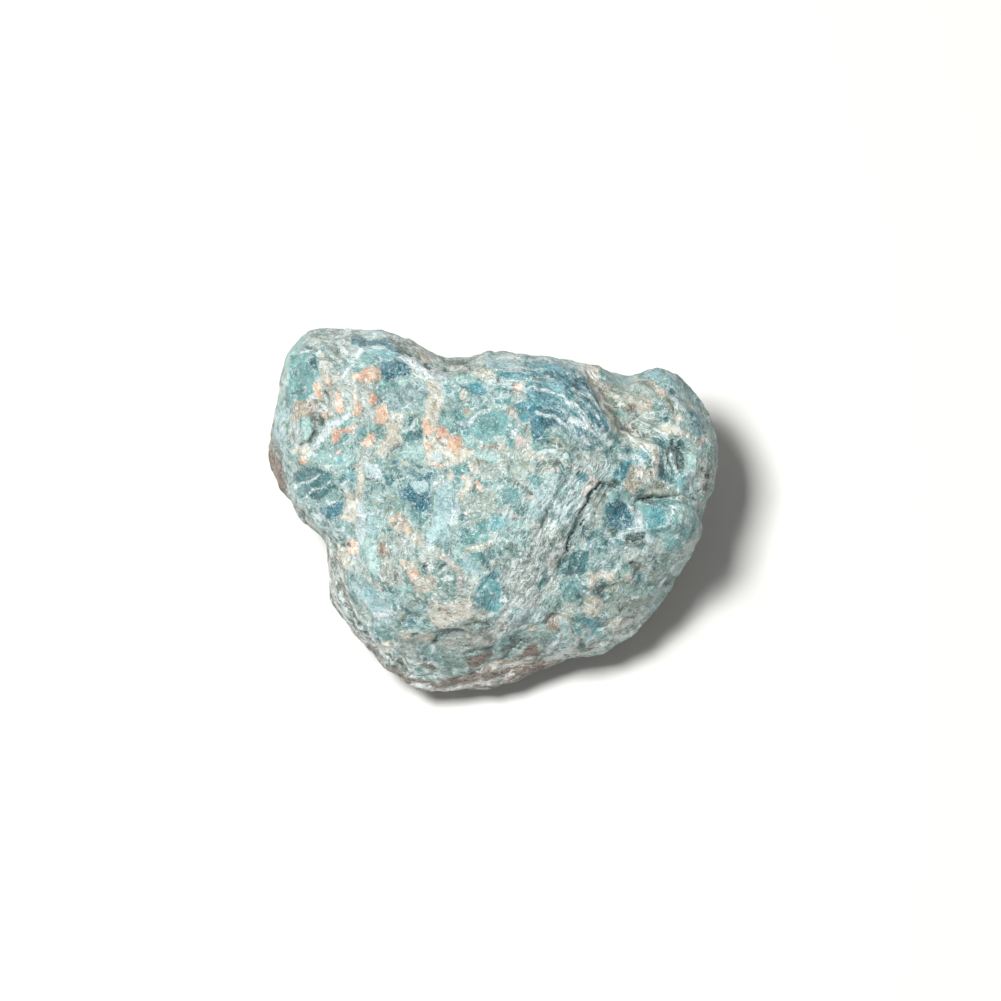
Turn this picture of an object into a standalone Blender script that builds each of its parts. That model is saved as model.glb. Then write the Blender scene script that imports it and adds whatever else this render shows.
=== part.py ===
"""Rough apatite: one natural chunk, resting on a small flat spot under its back.

The stone is described as seen straight onto its broad face. "across" runs to the right, "up" runs
toward the notched top edge and "out" runs out of the broad face, all in millimetres. At the end the
broad face is leaned toward -Y, and the underside is cut level where the stone rests.
"""

import math

import bmesh
import bpy
import numpy as np
from mathutils import Matrix, Vector, geometry, noise

FACE_LEAN_DEG = 15.0  # how far the broad face leans from level toward -Y
REST_DEPTH_MM = 25.0  # the level of the flat spot, below the middle of the outline
FACET_MM = 3.9  # typical width of one broken facet on the broad face
FACET_RELIEF_MM = 0.42  # how far a facet's corner may stand above or below its surroundings
CRUST_FACET_MM = 5.6  # the same two on the hidden side
CRUST_RELIEF_MM = 0.8
FACE_EDGE_MM = 2.15  # longest edge left on the broad face
CRUST_EDGE_MM = 3.2  # and on the hidden side
WALL_INSET_MM = 0.9  # how far the side wall draws in just below the outline
WALL_DROP_MM = 3.4  # how far below the outline that is
WALL_DROP_SHARE = 0.4  # or this share of the way to the level of the flat spot, if that is less
FACE_WEAR_PASSES = 1  # how often the ridges are rounded, and how much each time
FACE_WEAR = 0.3
CRUST_WEAR_PASSES = 4  # the same once more on the hidden side
CRUST_WEAR = 0.5
CRUST_FROM_SLOPE = 0.35  # the hidden side begins where the surface faces outward less than this
LUMP_MM = 6.5  # width of the lumps of its crust
LUMP_RELIEF_MM = 2.0
SWELL_MM = 9.0  # width of the gentle swellings of the surface
SWELL_RELIEF_MM = 0.45
GRAIN_MM = 2.2  # width of the sugary grain
GRAIN_RELIEF_MM = 0.2
SEED = 4127

# The outline of the broad face, clockwise from the upper left: across, up, out.
OUTLINE = [
    (-35.1, 18.2, -7.0), (-34.4, 21.6, -6.5), (-33.3, 24.9, -6.0), (-31.7, 27.2, -6.0),
    (-29.8, 28.8, -6.0), (-27.2, 29.6, -6.0), (-25.0, 29.4, -6.0), (-22.8, 29.5, -6.0),
    (-17.6, 29.2, -6.5), (-14.9, 28.5, -7.0), (-12.7, 27.8, -7.5), (-10.7, 26.6, -8.0),
    (-9.1, 25.0, -8.0), (-7.4, 24.5, -8.0), (-5.3, 24.4, -7.0), (-3.8, 25.1, -6.0),
    (-2.5, 25.9, -5.0), (1.3, 26.0, -4.0), (3.7, 25.6, -3.5), (5.4, 24.9, -3.0),
    (7.6, 24.5, -2.5), (12.0, 24.1, -3.0), (14.0, 23.6, -4.0), (17.0, 23.3, -5.0),
    (18.4, 22.6, -6.0), (21.0, 22.1, -7.0), (23.2, 22.3, -7.0), (26.0, 23.3, -7.0),
    (28.4, 23.0, -7.0), (30.5, 21.3, -7.0), (31.8, 19.4, -7.0), (33.7, 17.3, -7.0),
    (35.1, 15.0, -7.0), (36.0, 12.0, -6.5), (36.4, 8.2, -6.0), (35.9, 4.8, -5.5),
    (35.0, 2.0, -5.0), (33.7, 0.1, -4.5), (32.9, -1.4, -4.5), (33.4, -3.4, -5.0),
    (32.9, -6.1, -6.0), (31.3, -9.0, -7.0), (30.2, -10.8, -8.0), (27.9, -13.4, -8.5),
    (26.2, -16.4, -9.0), (24.9, -18.2, -9.5), (21.6, -21.0, -10.0), (17.9, -22.8, -10.5),
    (13.8, -23.9, -10.5), (10.1, -24.5, -11.0), (8.6, -25.8, -11.2), (5.6, -27.4, -11.4),
    (0.8, -28.8, -11.6), (-4.6, -29.2, -11.6), (-8.0, -29.9, -11.4), (-10.8, -30.1, -11.2),
    (-13.6, -28.8, -10.8), (-15.7, -26.7, -10.4), (-19.0, -23.8, -9.8), (-22.8, -20.6, -9.5),
    (-24.7, -17.8, -9.5), (-25.9, -14.8, -9.0), (-26.4, -10.4, -8.5), (-27.1, -7.5, -8.0),
    (-27.1, -5.5, -8.0), (-28.0, -4.5, -8.0), (-30.5, -1.9, -8.0), (-32.8, 1.1, -8.0),
    (-35.2, 4.5, -8.0), (-36.3, 8.1, -8.0), (-36.5, 11.2, -8.0), (-35.9, 15.3, -7.5),
]

# Ridges, ledges and valleys that stay sharp on the broad face, each as a line of points.
CREASES = {
    "crest between the left lobe and the notch": [
        (-15.5, 26.4, 1.2), (-13.0, 23.4, 3.6), (-10.2, 21.3, 4.8), (-7.4, 20.8, 5.4),
        (-3.9, 21.3, 5.6), (0.4, 20.4, 7.2),
    ],
    "foot of the grey flank above the crest": [
        (-11.4, 23.3, 0.8), (-9.4, 22.1, 0.4), (-7.0, 22.4, -0.4), (-3.7, 22.1, 1.8),
    ],
    "small crest inside the notch": [
        (-5.9, 23.2, 0.0), (-3.0, 22.8, 3.0), (0.2, 22.3, 5.2), (5.0, 22.3, 6.8),
    ],
    "right shoulder of the blue dome": [
        (8.6, 23.2, 5.0), (12.2, 22.3, 5.6), (14.2, 20.0, 6.9), (16.0, 17.0, 7.6),
        (17.9, 14.0, 7.6), (19.0, 11.2, 6.8),
    ],
    "foot of the blue dome": [
        (14.6, 22.3, 1.8), (17.4, 18.8, 1.6), (19.8, 15.2, 1.8), (22.4, 12.7, 0.8),
        (25.8, 12.3, 1.0),
    ],
    "pale band between the dome and the right lobe": [
        (20.4, 11.8, 4.6), (23.4, 10.8, 4.6), (25.4, 9.6, 4.6), (25.8, 5.6, 4.4),
    ],
    "left edge of the bright crystal face": [
        (17.4, 5.2, 8.2), (18.8, 7.6, 7.4), (20.2, 9.4, 5.8),
    ],
    "right edge of the bright crystal face": [
        (19.2, 3.4, 7.2), (21.2, 6.2, 6.6), (22.4, 8.4, 5.6),
    ],
    "lip of the right lobe": [
        (21.8, 2.8, 5.8), (24.8, 3.1, 4.8), (27.2, 2.7, 3.8), (29.2, 2.1, 2.4),
    ],
    "hollow under that lip": [
        (22.6, 1.9, 3.6), (25.2, 1.8, 2.2), (28.6, 1.5, 1.4),
    ],
    "upper edge of the glassy lump": [
        (22.4, -0.4, 4.6), (24.2, 0.8, 5.0), (27.6, 0.9, 4.8), (30.6, 0.6, 3.4),
        (32.0, -1.8, 0.8),
    ],
    "near side of the long crack": [
        (16.4, 4.2, 8.7), (14.1, 2.4, 8.9), (13.8, 0.2, 8.6), (12.1, -2.6, 7.9),
        (11.0, -5.6, 7.0), (9.2, -8.2, 6.2), (8.2, -11.6, 4.9), (7.0, -14.8, 3.2),
    ],
    "far side of the long crack": [
        (16.4, 3.2, 7.4), (14.8, 1.6, 7.4), (14.4, -0.4, 7.0), (12.8, -3.0, 6.4),
        (11.9, -5.6, 5.8), (10.4, -8.6, 5.2), (9.2, -11.8, 4.2), (8.0, -15.0, 2.8),
    ],
    "left side of the banded ridge": [
        (14.6, 6.4, 9.7), (9.8, 3.6, 11.0), (7.4, -0.6, 10.9), (5.4, -6.2, 10.0),
        (2.4, -12.2, 7.2), (0.6, -17.0, 4.0),
    ],
    "brow above the lower face": [
        (-18.3, -18.1, 1.8), (-16.2, -18.9, 3.2), (-12.6, -19.3, 3.8), (-8.2, -18.3, 4.6),
        (-4.4, -17.6, 4.6), (0.6, -17.6, 3.4), (4.4, -18.8, 1.0),
    ],
    "edge of the crusted underside": [
        (-13.7, -26.7, -8.4), (-12.0, -27.4, -8.0), (-8.2, -26.9, -7.4), (-4.2, -26.1, -6.8),
        (0.0, -24.4, -6.6), (4.6, -24.0, -7.6), (9.2, -23.7, -9.6),
    ],
    "edge above the layered wall": [
        (-30.6, 0.4, -0.8), (-28.0, -2.4, 0.2), (-25.4, -5.4, 1.2), (-23.4, -9.0, 2.2),
        (-22.4, -13.2, 2.2), (-20.3, -17.2, 0.8), (-18.0, -20.4, -1.6), (-15.8, -24.2, -5.0),
    ],
    "thick layer in that wall": [
        (-29.6, -1.3, -3.4), (-26.4, -5.3, -3.0), (-24.9, -9.6, -2.6), (-24.0, -13.6, -2.8),
        (-21.8, -18.0, -4.0), (-18.4, -21.9, -6.0),
    ],
    "edge of the deep blue hollow": [
        (-13.6, 3.8, 9.6), (-10.8, 5.9, 10.0), (-8.6, 5.0, 10.4), (-9.6, 1.2, 10.2),
        (-10.2, -0.8, 9.6),
    ],
    "left side of the glassy wedge": [
        (-31.6, 14.2, 3.2), (-29.2, 15.0, 4.8), (-28.6, 12.4, 4.8), (-29.6, 10.6, 4.0),
    ],
    "dark gap beside that wedge": [
        (-28.1, 15.0, 4.2), (-27.6, 12.6, 3.4), (-29.2, 10.0, 3.2),
    ],
}

# Single high and low places on the broad face.
FRONT_PLACES = {
    "left shoulder": [
        (-34.2, 13.4, -1.6), (-33.2, 19.6, -0.2), (-34.0, 8.4, -2.6), (-31.6, 24.4, 0.8),
        (-28.2, 27.2, 1.2), (-22.6, 27.4, 1.8), (-18.2, 27.0, 0.6),
    ],
    "left lobe": [
        (-25.6, 21.6, 6.4), (-29.2, 18.8, 4.6), (-26.4, 17.4, 4.4), (-19.6, 21.8, 6.8),
        (-16.2, 22.6, 5.4), (-21.4, 17.2, 7.2), (-17.8, 15.2, 7.6), (-24.6, 12.6, 6.6),
        (-20.2, 11.2, 7.4), (-31.6, 8.2, 2.2), (-26.6, 8.0, 5.0), (-31.2, 3.2, -0.2),
        (-28.4, 3.8, 2.4), (-24.2, 6.4, 6.2), (-22.4, 4.4, 6.6), (-24.0, 1.8, 4.6),
        (-26.6, -0.6, 2.6), (-23.8, -3.0, 3.6), (-22.4, -5.3, 3.6), (-20.8, 7.4, 6.6),
    ],
    "middle above": [
        (-13.2, 18.4, 6.6), (-14.8, 14.4, 6.8), (-11.8, 13.2, 6.9), (-9.0, 18.2, 7.4),
        (-9.4, 12.4, 9.0), (-5.8, 11.4, 9.4), (-4.4, 17.4, 7.0), (-2.2, 19.4, 7.4),
        (-0.8, 14.0, 8.4), (2.6, 16.4, 9.0), (3.8, 19.6, 8.2), (-12.6, 9.6, 8.4),
        (-8.4, 8.4, 9.9), (-2.2, 9.2, 10.2), (3.9, 11.2, 10.2),
    ],
    "top edge": [
        (-0.6, 24.2, 1.8), (3.6, 23.8, 3.2), (8.0, 23.8, 3.4), (-14.4, 26.2, -2.2),
        (-9.6, 24.0, -3.4), (-6.6, 23.6, -3.0),
    ],
    "blue dome": [
        (6.4, 19.6, 10.2), (10.6, 19.2, 9.6), (5.8, 14.8, 11.8), (10.4, 14.8, 11.6),
        (6.6, 10.6, 11.6), (11.2, 10.8, 11.6), (14.8, 13.6, 9.8), (15.2, 9.6, 9.2),
        (9.0, 7.6, 10.8), (17.6, 8.2, 7.8),
    ],
    "right lobe": [
        (18.6, 21.0, 0.2), (22.8, 20.2, 0.8), (22.6, 17.6, 2.2), (24.2, 14.4, 3.4),
        (27.6, 20.6, -0.2), (26.6, 16.6, 2.6), (29.6, 16.6, 1.6), (31.8, 14.8, 0.6),
        (28.8, 12.4, 3.8), (32.4, 11.0, 1.4), (27.4, 10.2, 2.8), (29.6, 8.6, 1.6),
        (27.2, 6.2, 3.4), (29.6, 4.4, 2.6), (31.8, 7.4, 2.2), (33.8, 5.6, 0.2),
        (33.0, 2.2, -0.2), (34.2, 10.0, -0.6),
    ],
    "bright crystal face and its hollow": [
        (23.8, 6.2, 5.6), (20.6, 2.2, 5.8), (17.8, 3.6, 5.6), (19.0, 1.0, 5.2),
    ],
    "glassy lump": [
        (25.2, -1.8, 6.2), (28.8, -2.0, 5.4), (24.2, -4.4, 4.4), (28.2, -5.4, 3.6),
        (31.0, -5.4, 0.6),
    ],
    "right flank": [
        (17.0, 0.6, 6.6), (19.4, -2.2, 4.6), (15.6, -2.4, 6.0), (22.2, -3.4, 4.2),
        (15.0, -5.4, 5.2), (13.4, -8.6, 4.8), (18.2, -7.6, 4.0), (21.8, -7.4, 3.0),
        (25.2, -8.6, 1.4), (28.4, -9.2, -1.4), (12.0, -13.2, 3.2), (16.4, -12.6, 2.8),
        (19.8, -12.8, 1.0), (24.4, -12.8, -1.6), (12.4, -17.4, 0.2), (16.4, -17.0, -0.6),
        (20.6, -16.8, -2.4), (8.8, -18.2, 0.2), (13.0, -20.8, -3.2), (18.4, -20.0, -5.2),
        (7.0, -21.4, -3.0), (11.2, -22.6, -6.6),
    ],
    "middle": [
        (-17.2, 8.2, 7.8), (-15.6, 3.6, 8.4), (-20.2, 3.0, 6.6), (-11.8, 2.6, 8.6),
        (-12.0, -1.6, 8.8), (-7.4, 2.6, 10.9), (-4.6, 5.6, 10.6), (-0.4, 6.0, 11.2),
        (1.6, 3.4, 12.4), (4.2, 6.6, 11.2), (5.8, 2.6, 11.4), (-3.2, -0.6, 11.4),
        (2.6, -2.6, 12.0), (-1.8, -5.2, 11.4), (1.8, -7.0, 10.6), (-6.4, -3.6, 10.8),
        (-7.6, -7.4, 9.9), (-3.0, -9.6, 9.8), (-12.6, -5.2, 9.6), (-16.4, -1.2, 8.2),
        (-18.0, -5.0, 7.4), (-20.6, -1.6, 6.0), (-19.4, -9.6, 5.8), (-15.4, -9.4, 8.2),
        (-11.0, -10.6, 8.6), (-7.2, -12.8, 8.2), (-1.4, -12.4, 8.0), (-3.4, -15.2, 6.6),
        (-18.6, -14.4, 4.4), (-14.0, -14.6, 6.2), (-9.6, -15.8, 6.2), (-12.6, -17.2, 4.4),
        (4.0, -15.0, 5.4),
    ],
    "lower face": [
        (-15.2, -22.4, -2.2), (-11.0, -21.8, -0.6), (-7.2, -20.4, 0.6), (-2.4, -20.6, 0.2),
        (2.4, -21.0, -1.8), (-8.0, -23.8, -3.4), (-12.2, -25.4, -5.4), (-3.6, -24.0, -4.0),
        (1.6, -22.8, -4.0),
    ],
}

# The hidden side, rounder and crusted. The third value is the height above the flat spot.
UNDER_PLACES = {
    "flat spot": [
        (0.0, -4.0, -2.2), (-7.0, -5.0, -1.6), (7.0, -6.0, -1.5), (-3.5, 3.0, -1.7),
        (5.0, 3.0, -1.4), (0.0, -11.0, -0.8),
    ],
    "belly around it": [
        (-14.0, -2.0, 1.4), (-12.5, 6.0, 1.6), (-4.0, 11.0, 1.9), (6.0, 11.0, 2.2),
        (14.5, 4.0, 1.8), (14.0, -7.0, 1.7), (8.0, -14.5, 2.0), (-1.5, -17.0, 2.1),
        (-10.0, -13.0, 1.8),
    ],
    "lower flanks": [
        (-22.0, 5.5, 4.6), (-20.5, 14.0, 7.2), (-9.5, 17.0, 7.4), (4.0, 18.0, 7.0),
        (16.0, 14.0, 6.4), (24.0, 7.0, 5.2), (23.5, -4.5, 4.8), (18.0, -13.0, 4.6),
        (8.5, -19.5, 2.9), (-4.0, -22.0, 2.2), (-12.5, -20.0, 2.7), (-18.0, -13.0, 4.6),
        (-20.0, -4.0, 5.4),
    ],
    "side walls": [
        (-32.6, 12.0, 11.0), (-31.0, 4.6, 10.4), (-31.6, 19.6, 14.0), (-28.0, 25.2, 15.2),
        (-18.0, 25.4, 14.6), (-9.6, 21.6, 13.4), (0.0, 22.8, 13.8), (10.0, 21.2, 13.2),
        (19.0, 19.4, 13.2), (27.0, 19.8, 14.4), (31.8, 14.0, 12.4), (32.8, 7.0, 12.0),
        (30.2, 0.2, 11.2), (29.8, -5.0, 10.4), (25.0, -12.0, 8.2), (20.4, -17.4, 6.6),
        (12.0, -21.2, 4.6), (2.0, -25.4, 3.2), (-8.0, -26.4, 2.8), (-15.8, -22.6, 4.2),
        (-20.8, -17.0, 6.6), (-23.0, -9.0, 9.0), (-26.0, -1.4, 10.2),
    ],
}

# Small pits and knobs: across, up, radius, how far out (negative for a pit).
PITS_AND_KNOBS = [
    (-7.4, 22.7, 0.8, -0.9), (22.9, 18.7, 0.8, -0.5), (-22.9, -5.3, 0.9, -0.7),
    (-15.0, 14.3, 1.0, -0.6), (10.1, 7.3, 1.0, -0.8), (9.4, -16.9, 1.2, -0.7),
    (4.4, -4.8, 0.9, -0.5), (17.6, 4.2, 1.0, -0.8), (-25.9, 21.2, 1.9, 0.7),
    (-19.6, 21.7, 2.0, 0.4), (-29.9, 8.2, 1.0, 0.4), (-23.4, 12.6, 1.6, 0.3),
    (14.0, -9.0, 2.6, 0.5), (20.4, -2.0, 1.8, 0.4), (22.8, -4.7, 1.5, 0.4),
    (-2.0, -12.6, 2.4, 0.4), (9.8, -18.0, 1.0, 0.4),
]

stone_random = np.random.default_rng(SEED)
lean = math.radians(FACE_LEAN_DEG)


def triangulated(points, lines, rim_count):
    """The triangles between flat points inside the rim, which is the first rim_count of them."""
    result = geometry.delaunay_2d_cdt(
        [Vector(p[:2]) for p in points], lines, [list(range(rim_count))], 1, 1e-6
    )
    if len(result[0]) != len(points):
        raise ValueError("two points of the stone coincide, or two of its creases cross")
    order = [sources[0] for sources in result[3]]
    return np.array([[order[i] for i in face] for face in result[2]])


def heights_from(points, triangles, wanted):
    """How far inside each place lies, and the out value there on the triangle it lies in."""
    points = np.array(points)
    a, b, c = (points[triangles[:, i]] for i in range(3))
    side_b, side_c = b - a, c - a
    area = side_b[:, 0] * side_c[:, 1] - side_b[:, 1] * side_c[:, 0]
    away = wanted[:, None, :2] - a[None, :, :2]
    share_b = (away[..., 0] * side_c[:, 1] - away[..., 1] * side_c[:, 0]) / area
    share_c = (side_b[:, 0] * away[..., 1] - side_b[:, 1] * away[..., 0]) / area
    inside = np.minimum(np.minimum(share_b, share_c), 1 - share_b - share_c)
    best = inside.argmax(axis=1)
    rows = np.arange(len(wanted))
    share_b, share_c = share_b[rows, best], share_c[rows, best]
    share_a = 1 - share_b - share_c
    out = share_a * a[best, 2] + share_b * b[best, 2] + share_c * c[best, 2]
    return inside[rows, best], out


def gap_to_lines(places, starts, ends):
    """How far each flat place lies from the nearest of the given straight pieces."""
    along = ends - starts
    length = np.maximum((along**2).sum(axis=1), 1e-9)
    away = places[:, None] - starts[None]
    share = np.clip((away * along).sum(axis=2) / length, 0, 1)
    return np.linalg.norm(away - share[..., None] * along, axis=2).min(axis=1)


def broken_skin(creases, places, facet, relief):
    """One side of the stone as broken facets: its corners and the triangles between them.

    The outline comes first, then the creases and the single places, then further corners
    scattered between those and moved in or out a little.
    """
    points, lines = list(OUTLINE), []
    for line in creases:
        lines += [(len(points) + i, len(points) + i + 1) for i in range(len(line) - 1)]
        points += line
    points += places
    known = np.array(points)[:, :2]
    rim_lines = [(i, (i + 1) % len(OUTLINE)) for i in range(len(OUTLINE))]
    pairs = np.array(rim_lines + lines + [(i, i) for i in range(len(known))])
    starts, ends = known[pairs[:, 0]], known[pairs[:, 1]]
    coarse = triangulated(points, lines, len(OUTLINE))

    added = np.empty((0, 3))
    for _ in range(60):
        spread = stone_random.uniform((-37.0, -30.0), (37.0, 30.0), (400, 2))
        inside, out = heights_from(points, coarse, spread)
        spread = np.column_stack([spread, out])[inside > 0]
        spread = spread[gap_to_lines(spread[:, :2], starts, ends) > 0.55 * facet]
        for place in spread:
            if len(added) == 0 or np.hypot(*(added[:, :2] - place[:2]).T).min() > 0.8 * facet:
                added = np.vstack([added, place])
    added[:, 2] += stone_random.uniform(-relief, relief, len(added))
    points += [tuple(p) for p in added]
    return np.array(points), triangulated(points, lines, len(OUTLINE))


def out_at_height(up, height):
    """The out value of a place that ends up this high above the flat spot once the face leans."""
    return (height - REST_DEPTH_MM - up * math.sin(lean)) / math.cos(lean)


def wall_below_outline():
    """Corners just inside the outline and below it, so that the side wall starts out steep."""
    made = []
    for i, (across, up, out) in enumerate(OUTLINE):
        before, after = OUTLINE[i - 1], OUTLINE[(i + 1) % len(OUTLINE)]
        along = Vector((after[0] - before[0], after[1] - before[1])).normalized()
        # Clockwise, the inside lies to the right of the way along.
        inset, drop = stone_random.uniform(0.7, 1.3, 2)
        to_rest = out - out_at_height(up, 0.0)
        made.append((
            across + along.y * WALL_INSET_MM * inset,
            up - along.x * WALL_INSET_MM * inset,
            out - min(WALL_DROP_MM, WALL_DROP_SHARE * to_rest) * drop,
        ))
    return made


def wear(shape, corners, passes, amount):
    """Rounds the ridges between these corners a little, as often as told."""
    for _ in range(passes):
        bmesh.ops.smooth_vert(
            shape,
            verts=corners,
            factor=amount,
            use_axis_x=True,
            use_axis_y=True,
            use_axis_z=True,
        )


for old in list(bpy.data.objects):
    bpy.data.objects.remove(old, do_unlink=True)

front_places = [p for group in FRONT_PLACES.values() for p in group]
under_places = [
    (across, up, out_at_height(up, height))
    for group in UNDER_PLACES.values()
    for across, up, height in group
]
front, front_triangles = broken_skin(
    list(CREASES.values()), front_places, FACET_MM, FACET_RELIEF_MM
)
back, back_triangles = broken_skin(
    [], wall_below_outline() + under_places, CRUST_FACET_MM, CRUST_RELIEF_MM
)

# Both sides share the outline, so they meet there corner for corner.
rim = len(OUTLINE)
places = np.concatenate([front, back[rim:]])
back_index = np.concatenate([np.arange(rim), np.arange(rim, len(back)) + len(front) - rim])
mesh = bpy.data.meshes.new("rough_apatite")
stone = bpy.data.objects.new("rough_apatite", mesh)
bpy.context.scene.collection.objects.link(stone)
shape = bmesh.new()
corners = [shape.verts.new(p) for p in places]
for face in front_triangles:
    shape.faces.new([corners[i] for i in face])
for face in back_index[back_triangles]:
    shape.faces.new([corners[i] for i in face[::-1]])
bmesh.ops.recalc_face_normals(shape, faces=shape.faces)

# Each facet is divided, so that its ridges stay where they are while its surface can be worn.
divided = True
while divided:
    divided = [
        edge
        for edge in shape.edges
        if edge.calc_length()
        > (FACE_EDGE_MM if max(f.normal.z for f in edge.link_faces) > 0 else CRUST_EDGE_MM)
    ]
    bmesh.ops.subdivide_edges(shape, edges=divided, cuts=1)
    bmesh.ops.triangulate(shape, faces=shape.faces)

for vertex in shape.verts:
    for across, up, radius, height in PITS_AND_KNOBS:
        gap = math.hypot(vertex.co.x - across, vertex.co.y - up)
        if gap < radius and vertex.normal.z > 0:
            vertex.co.z += height * (1 - (gap / radius) ** 2)

shape.normal_update()
hidden_corners = [v for v in shape.verts if v.normal.z < CRUST_FROM_SLOPE]
wear(shape, hidden_corners, CRUST_WEAR_PASSES, CRUST_WEAR)
wear(shape, shape.verts, FACE_WEAR_PASSES, FACE_WEAR)

# Lumps of crust, gentle swellings and sugary grain stand out along the surface's own direction.
shape.normal_update()
for vertex in shape.verts:
    crusted = min(1.0, max(0.0, (CRUST_FROM_SLOPE - vertex.normal.z) * 1.5))
    from_middle_of_lump = noise.voronoi(vertex.co / LUMP_MM)[0][0]
    raised = LUMP_RELIEF_MM * crusted * (0.45 - from_middle_of_lump)
    raised += SWELL_RELIEF_MM * noise.noise(vertex.co / SWELL_MM)
    raised += GRAIN_RELIEF_MM * noise.noise(vertex.co / GRAIN_MM)
    vertex.co += vertex.normal * raised

# Lean the broad face, cut the flat spot, put the origin under the middle of the stone at that
# level, and go from millimetres to metres.
shape.transform(Matrix.Rotation(lean, 4, "X"))
cut = bmesh.ops.bisect_plane(
    shape,
    geom=shape.verts[:] + shape.edges[:] + shape.faces[:],
    dist=1e-4,
    plane_co=(0, 0, -REST_DEPTH_MM),
    plane_no=(0, 0, -1),
    clear_outer=True,
)
edges = [g for g in cut["geom_cut"] if isinstance(g, bmesh.types.BMEdge)]
bmesh.ops.contextual_create(shape, geom=edges)
bmesh.ops.triangulate(shape, faces=shape.faces)
widths = np.array([v.co for v in shape.verts])
middle = (widths.min(axis=0) + widths.max(axis=0)) / 2
to_origin = Matrix.Translation((-middle[0], -middle[1], REST_DEPTH_MM))
shape.transform(Matrix.Scale(0.001, 4) @ to_origin)
bmesh.ops.recalc_face_normals(shape, faces=shape.faces)
shape.to_mesh(mesh)
shape.free()

apatite = bpy.data.materials.new("apatite")
apatite.use_nodes = True
surface = apatite.node_tree.nodes["Principled BSDF"]
surface.inputs["Base Color"].default_value = (0.36, 0.48, 0.45, 1.0)
surface.inputs["Roughness"].default_value = 0.42
surface.inputs["Metallic"].default_value = 0.0
mesh.materials.append(apatite)
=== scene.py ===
# Rough apatite, one natural chunk as broken from the ground, resting on a small flat spot.
# Lengths in this file are millimetres unless a name says otherwise. Places on the broad
# face are given as it is seen square on: across, up, and out toward the eye.
import math

import bmesh
import bpy
import numpy as np
from mathutils import Matrix, Vector, noise


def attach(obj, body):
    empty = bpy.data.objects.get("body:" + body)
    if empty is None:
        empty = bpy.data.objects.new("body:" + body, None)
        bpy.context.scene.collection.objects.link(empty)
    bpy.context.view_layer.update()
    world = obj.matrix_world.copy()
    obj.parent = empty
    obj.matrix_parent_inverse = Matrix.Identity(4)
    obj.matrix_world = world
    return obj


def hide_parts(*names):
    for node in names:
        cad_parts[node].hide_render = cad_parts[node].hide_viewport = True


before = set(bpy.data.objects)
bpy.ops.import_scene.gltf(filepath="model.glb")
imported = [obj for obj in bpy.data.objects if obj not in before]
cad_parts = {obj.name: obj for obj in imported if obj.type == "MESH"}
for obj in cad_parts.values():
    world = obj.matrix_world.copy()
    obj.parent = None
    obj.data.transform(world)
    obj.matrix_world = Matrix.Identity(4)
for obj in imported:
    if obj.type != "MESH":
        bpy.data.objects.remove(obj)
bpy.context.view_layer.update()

# The stone: apatite grown together with calcite, snapped off in one blow and left
# unworked. Its skin is all broken grain, so the mesh starts as the plain solid, cut
# fine enough to carry every grain, step and flake.
METRE = 1000.0
FACE_LEAN_DEG = 15.0
FACE_CENTRE_MM = (0.137, -2.390, 25.0)
SKIN_STEP_MM = 0.38
SKIN_EASE_PASSES = 2
FACING_EASE_PASSES = 4
MERGE_MM = 0.002

lean = Matrix.Rotation(math.radians(FACE_LEAN_DEG), 3, "X")
face_axes = np.array(lean)
face_centre = np.array(FACE_CENTRE_MM)

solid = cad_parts["rough_apatite"]
skin = bpy.data.meshes.new("rough_apatite_stone")
grown = bmesh.new()
grown.from_mesh(solid.data)
bmesh.ops.scale(grown, vec=(METRE, METRE, METRE), verts=grown.verts)
bmesh.ops.remove_doubles(grown, verts=grown.verts, dist=MERGE_MM)
grown.to_mesh(skin)
grown.free()
stone = bpy.data.objects.new("rough_apatite_stone", skin)
bpy.context.scene.collection.objects.link(stone)
finer = stone.modifiers.new("finer", "REMESH")
finer.mode = "VOXEL"
finer.voxel_size = SKIN_STEP_MM
bpy.context.view_layer.update()
fine = bpy.data.meshes.new_from_object(stone.evaluated_get(bpy.context.evaluated_depsgraph_get()))
stone.modifiers.clear()
stone.data = fine
bpy.data.meshes.remove(skin)
fine.name = "rough_apatite_stone"

count = len(fine.vertices)
points = np.empty(count * 3)
fine.vertices.foreach_get("co", points)
points = points.reshape(-1, 3)
edges = np.empty(len(fine.edges) * 2, dtype=int)
fine.edges.foreach_get("vertices", edges)
edges = edges.reshape(-1, 2)
neighbours = np.bincount(edges.ravel(), minlength=count)[:, None]


def eased(values, passes, share=0.5):
    """Values shared with the points around, as often as passes says."""
    for _ in range(passes):
        total = np.zeros_like(values)
        np.add.at(total, edges[:, 0], values[edges[:, 1]])
        np.add.at(total, edges[:, 1], values[edges[:, 0]])
        values = values + share * (total / neighbours - values)
    return values


points = eased(points, SKIN_EASE_PASSES)


def outward(places):
    """Each point's outward direction on the mesh with its points at these places."""
    fine.vertices.foreach_set("co", places.ravel())
    fine.update()
    directions = np.empty(count * 3)
    fine.vertex_normals.foreach_get("vector", directions)
    return directions.reshape(-1, 3)


faces_out = eased(outward(points), FACING_EASE_PASSES)
faces_out /= np.linalg.norm(faces_out, axis=1)[:, None]
on_face = (points - face_centre) @ face_axes
turned_out = faces_out @ face_axes[:, 2]

# The marks on the broad face: each area, streak or spot is one patch of mineral that broke open there,
# in the order they overlap. Two exceptions: the dark marks and cracks are painted shade in holes,
# hollows and cracks, and the white marks on the glassy lump are painted highlights. A later mark lies
# over an earlier one.
marks = []


def area(kind, *numbers):
    """A patch of this kind inside an outline: across and up, point by point."""
    marks.append((kind, 0.0, True, np.array(numbers).reshape(-1, 2)))


def streak(kind, half_width, *numbers):
    """A band of this kind along a line, this far to either side of it."""
    marks.append((kind, half_width, False, np.array(numbers).reshape(-1, 2)))


def spot(kind, middle_across, middle_up, radius):
    """A round patch of this kind."""
    marks.append((kind, radius, False, np.array([[middle_across, middle_up]] * 2)))


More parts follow.
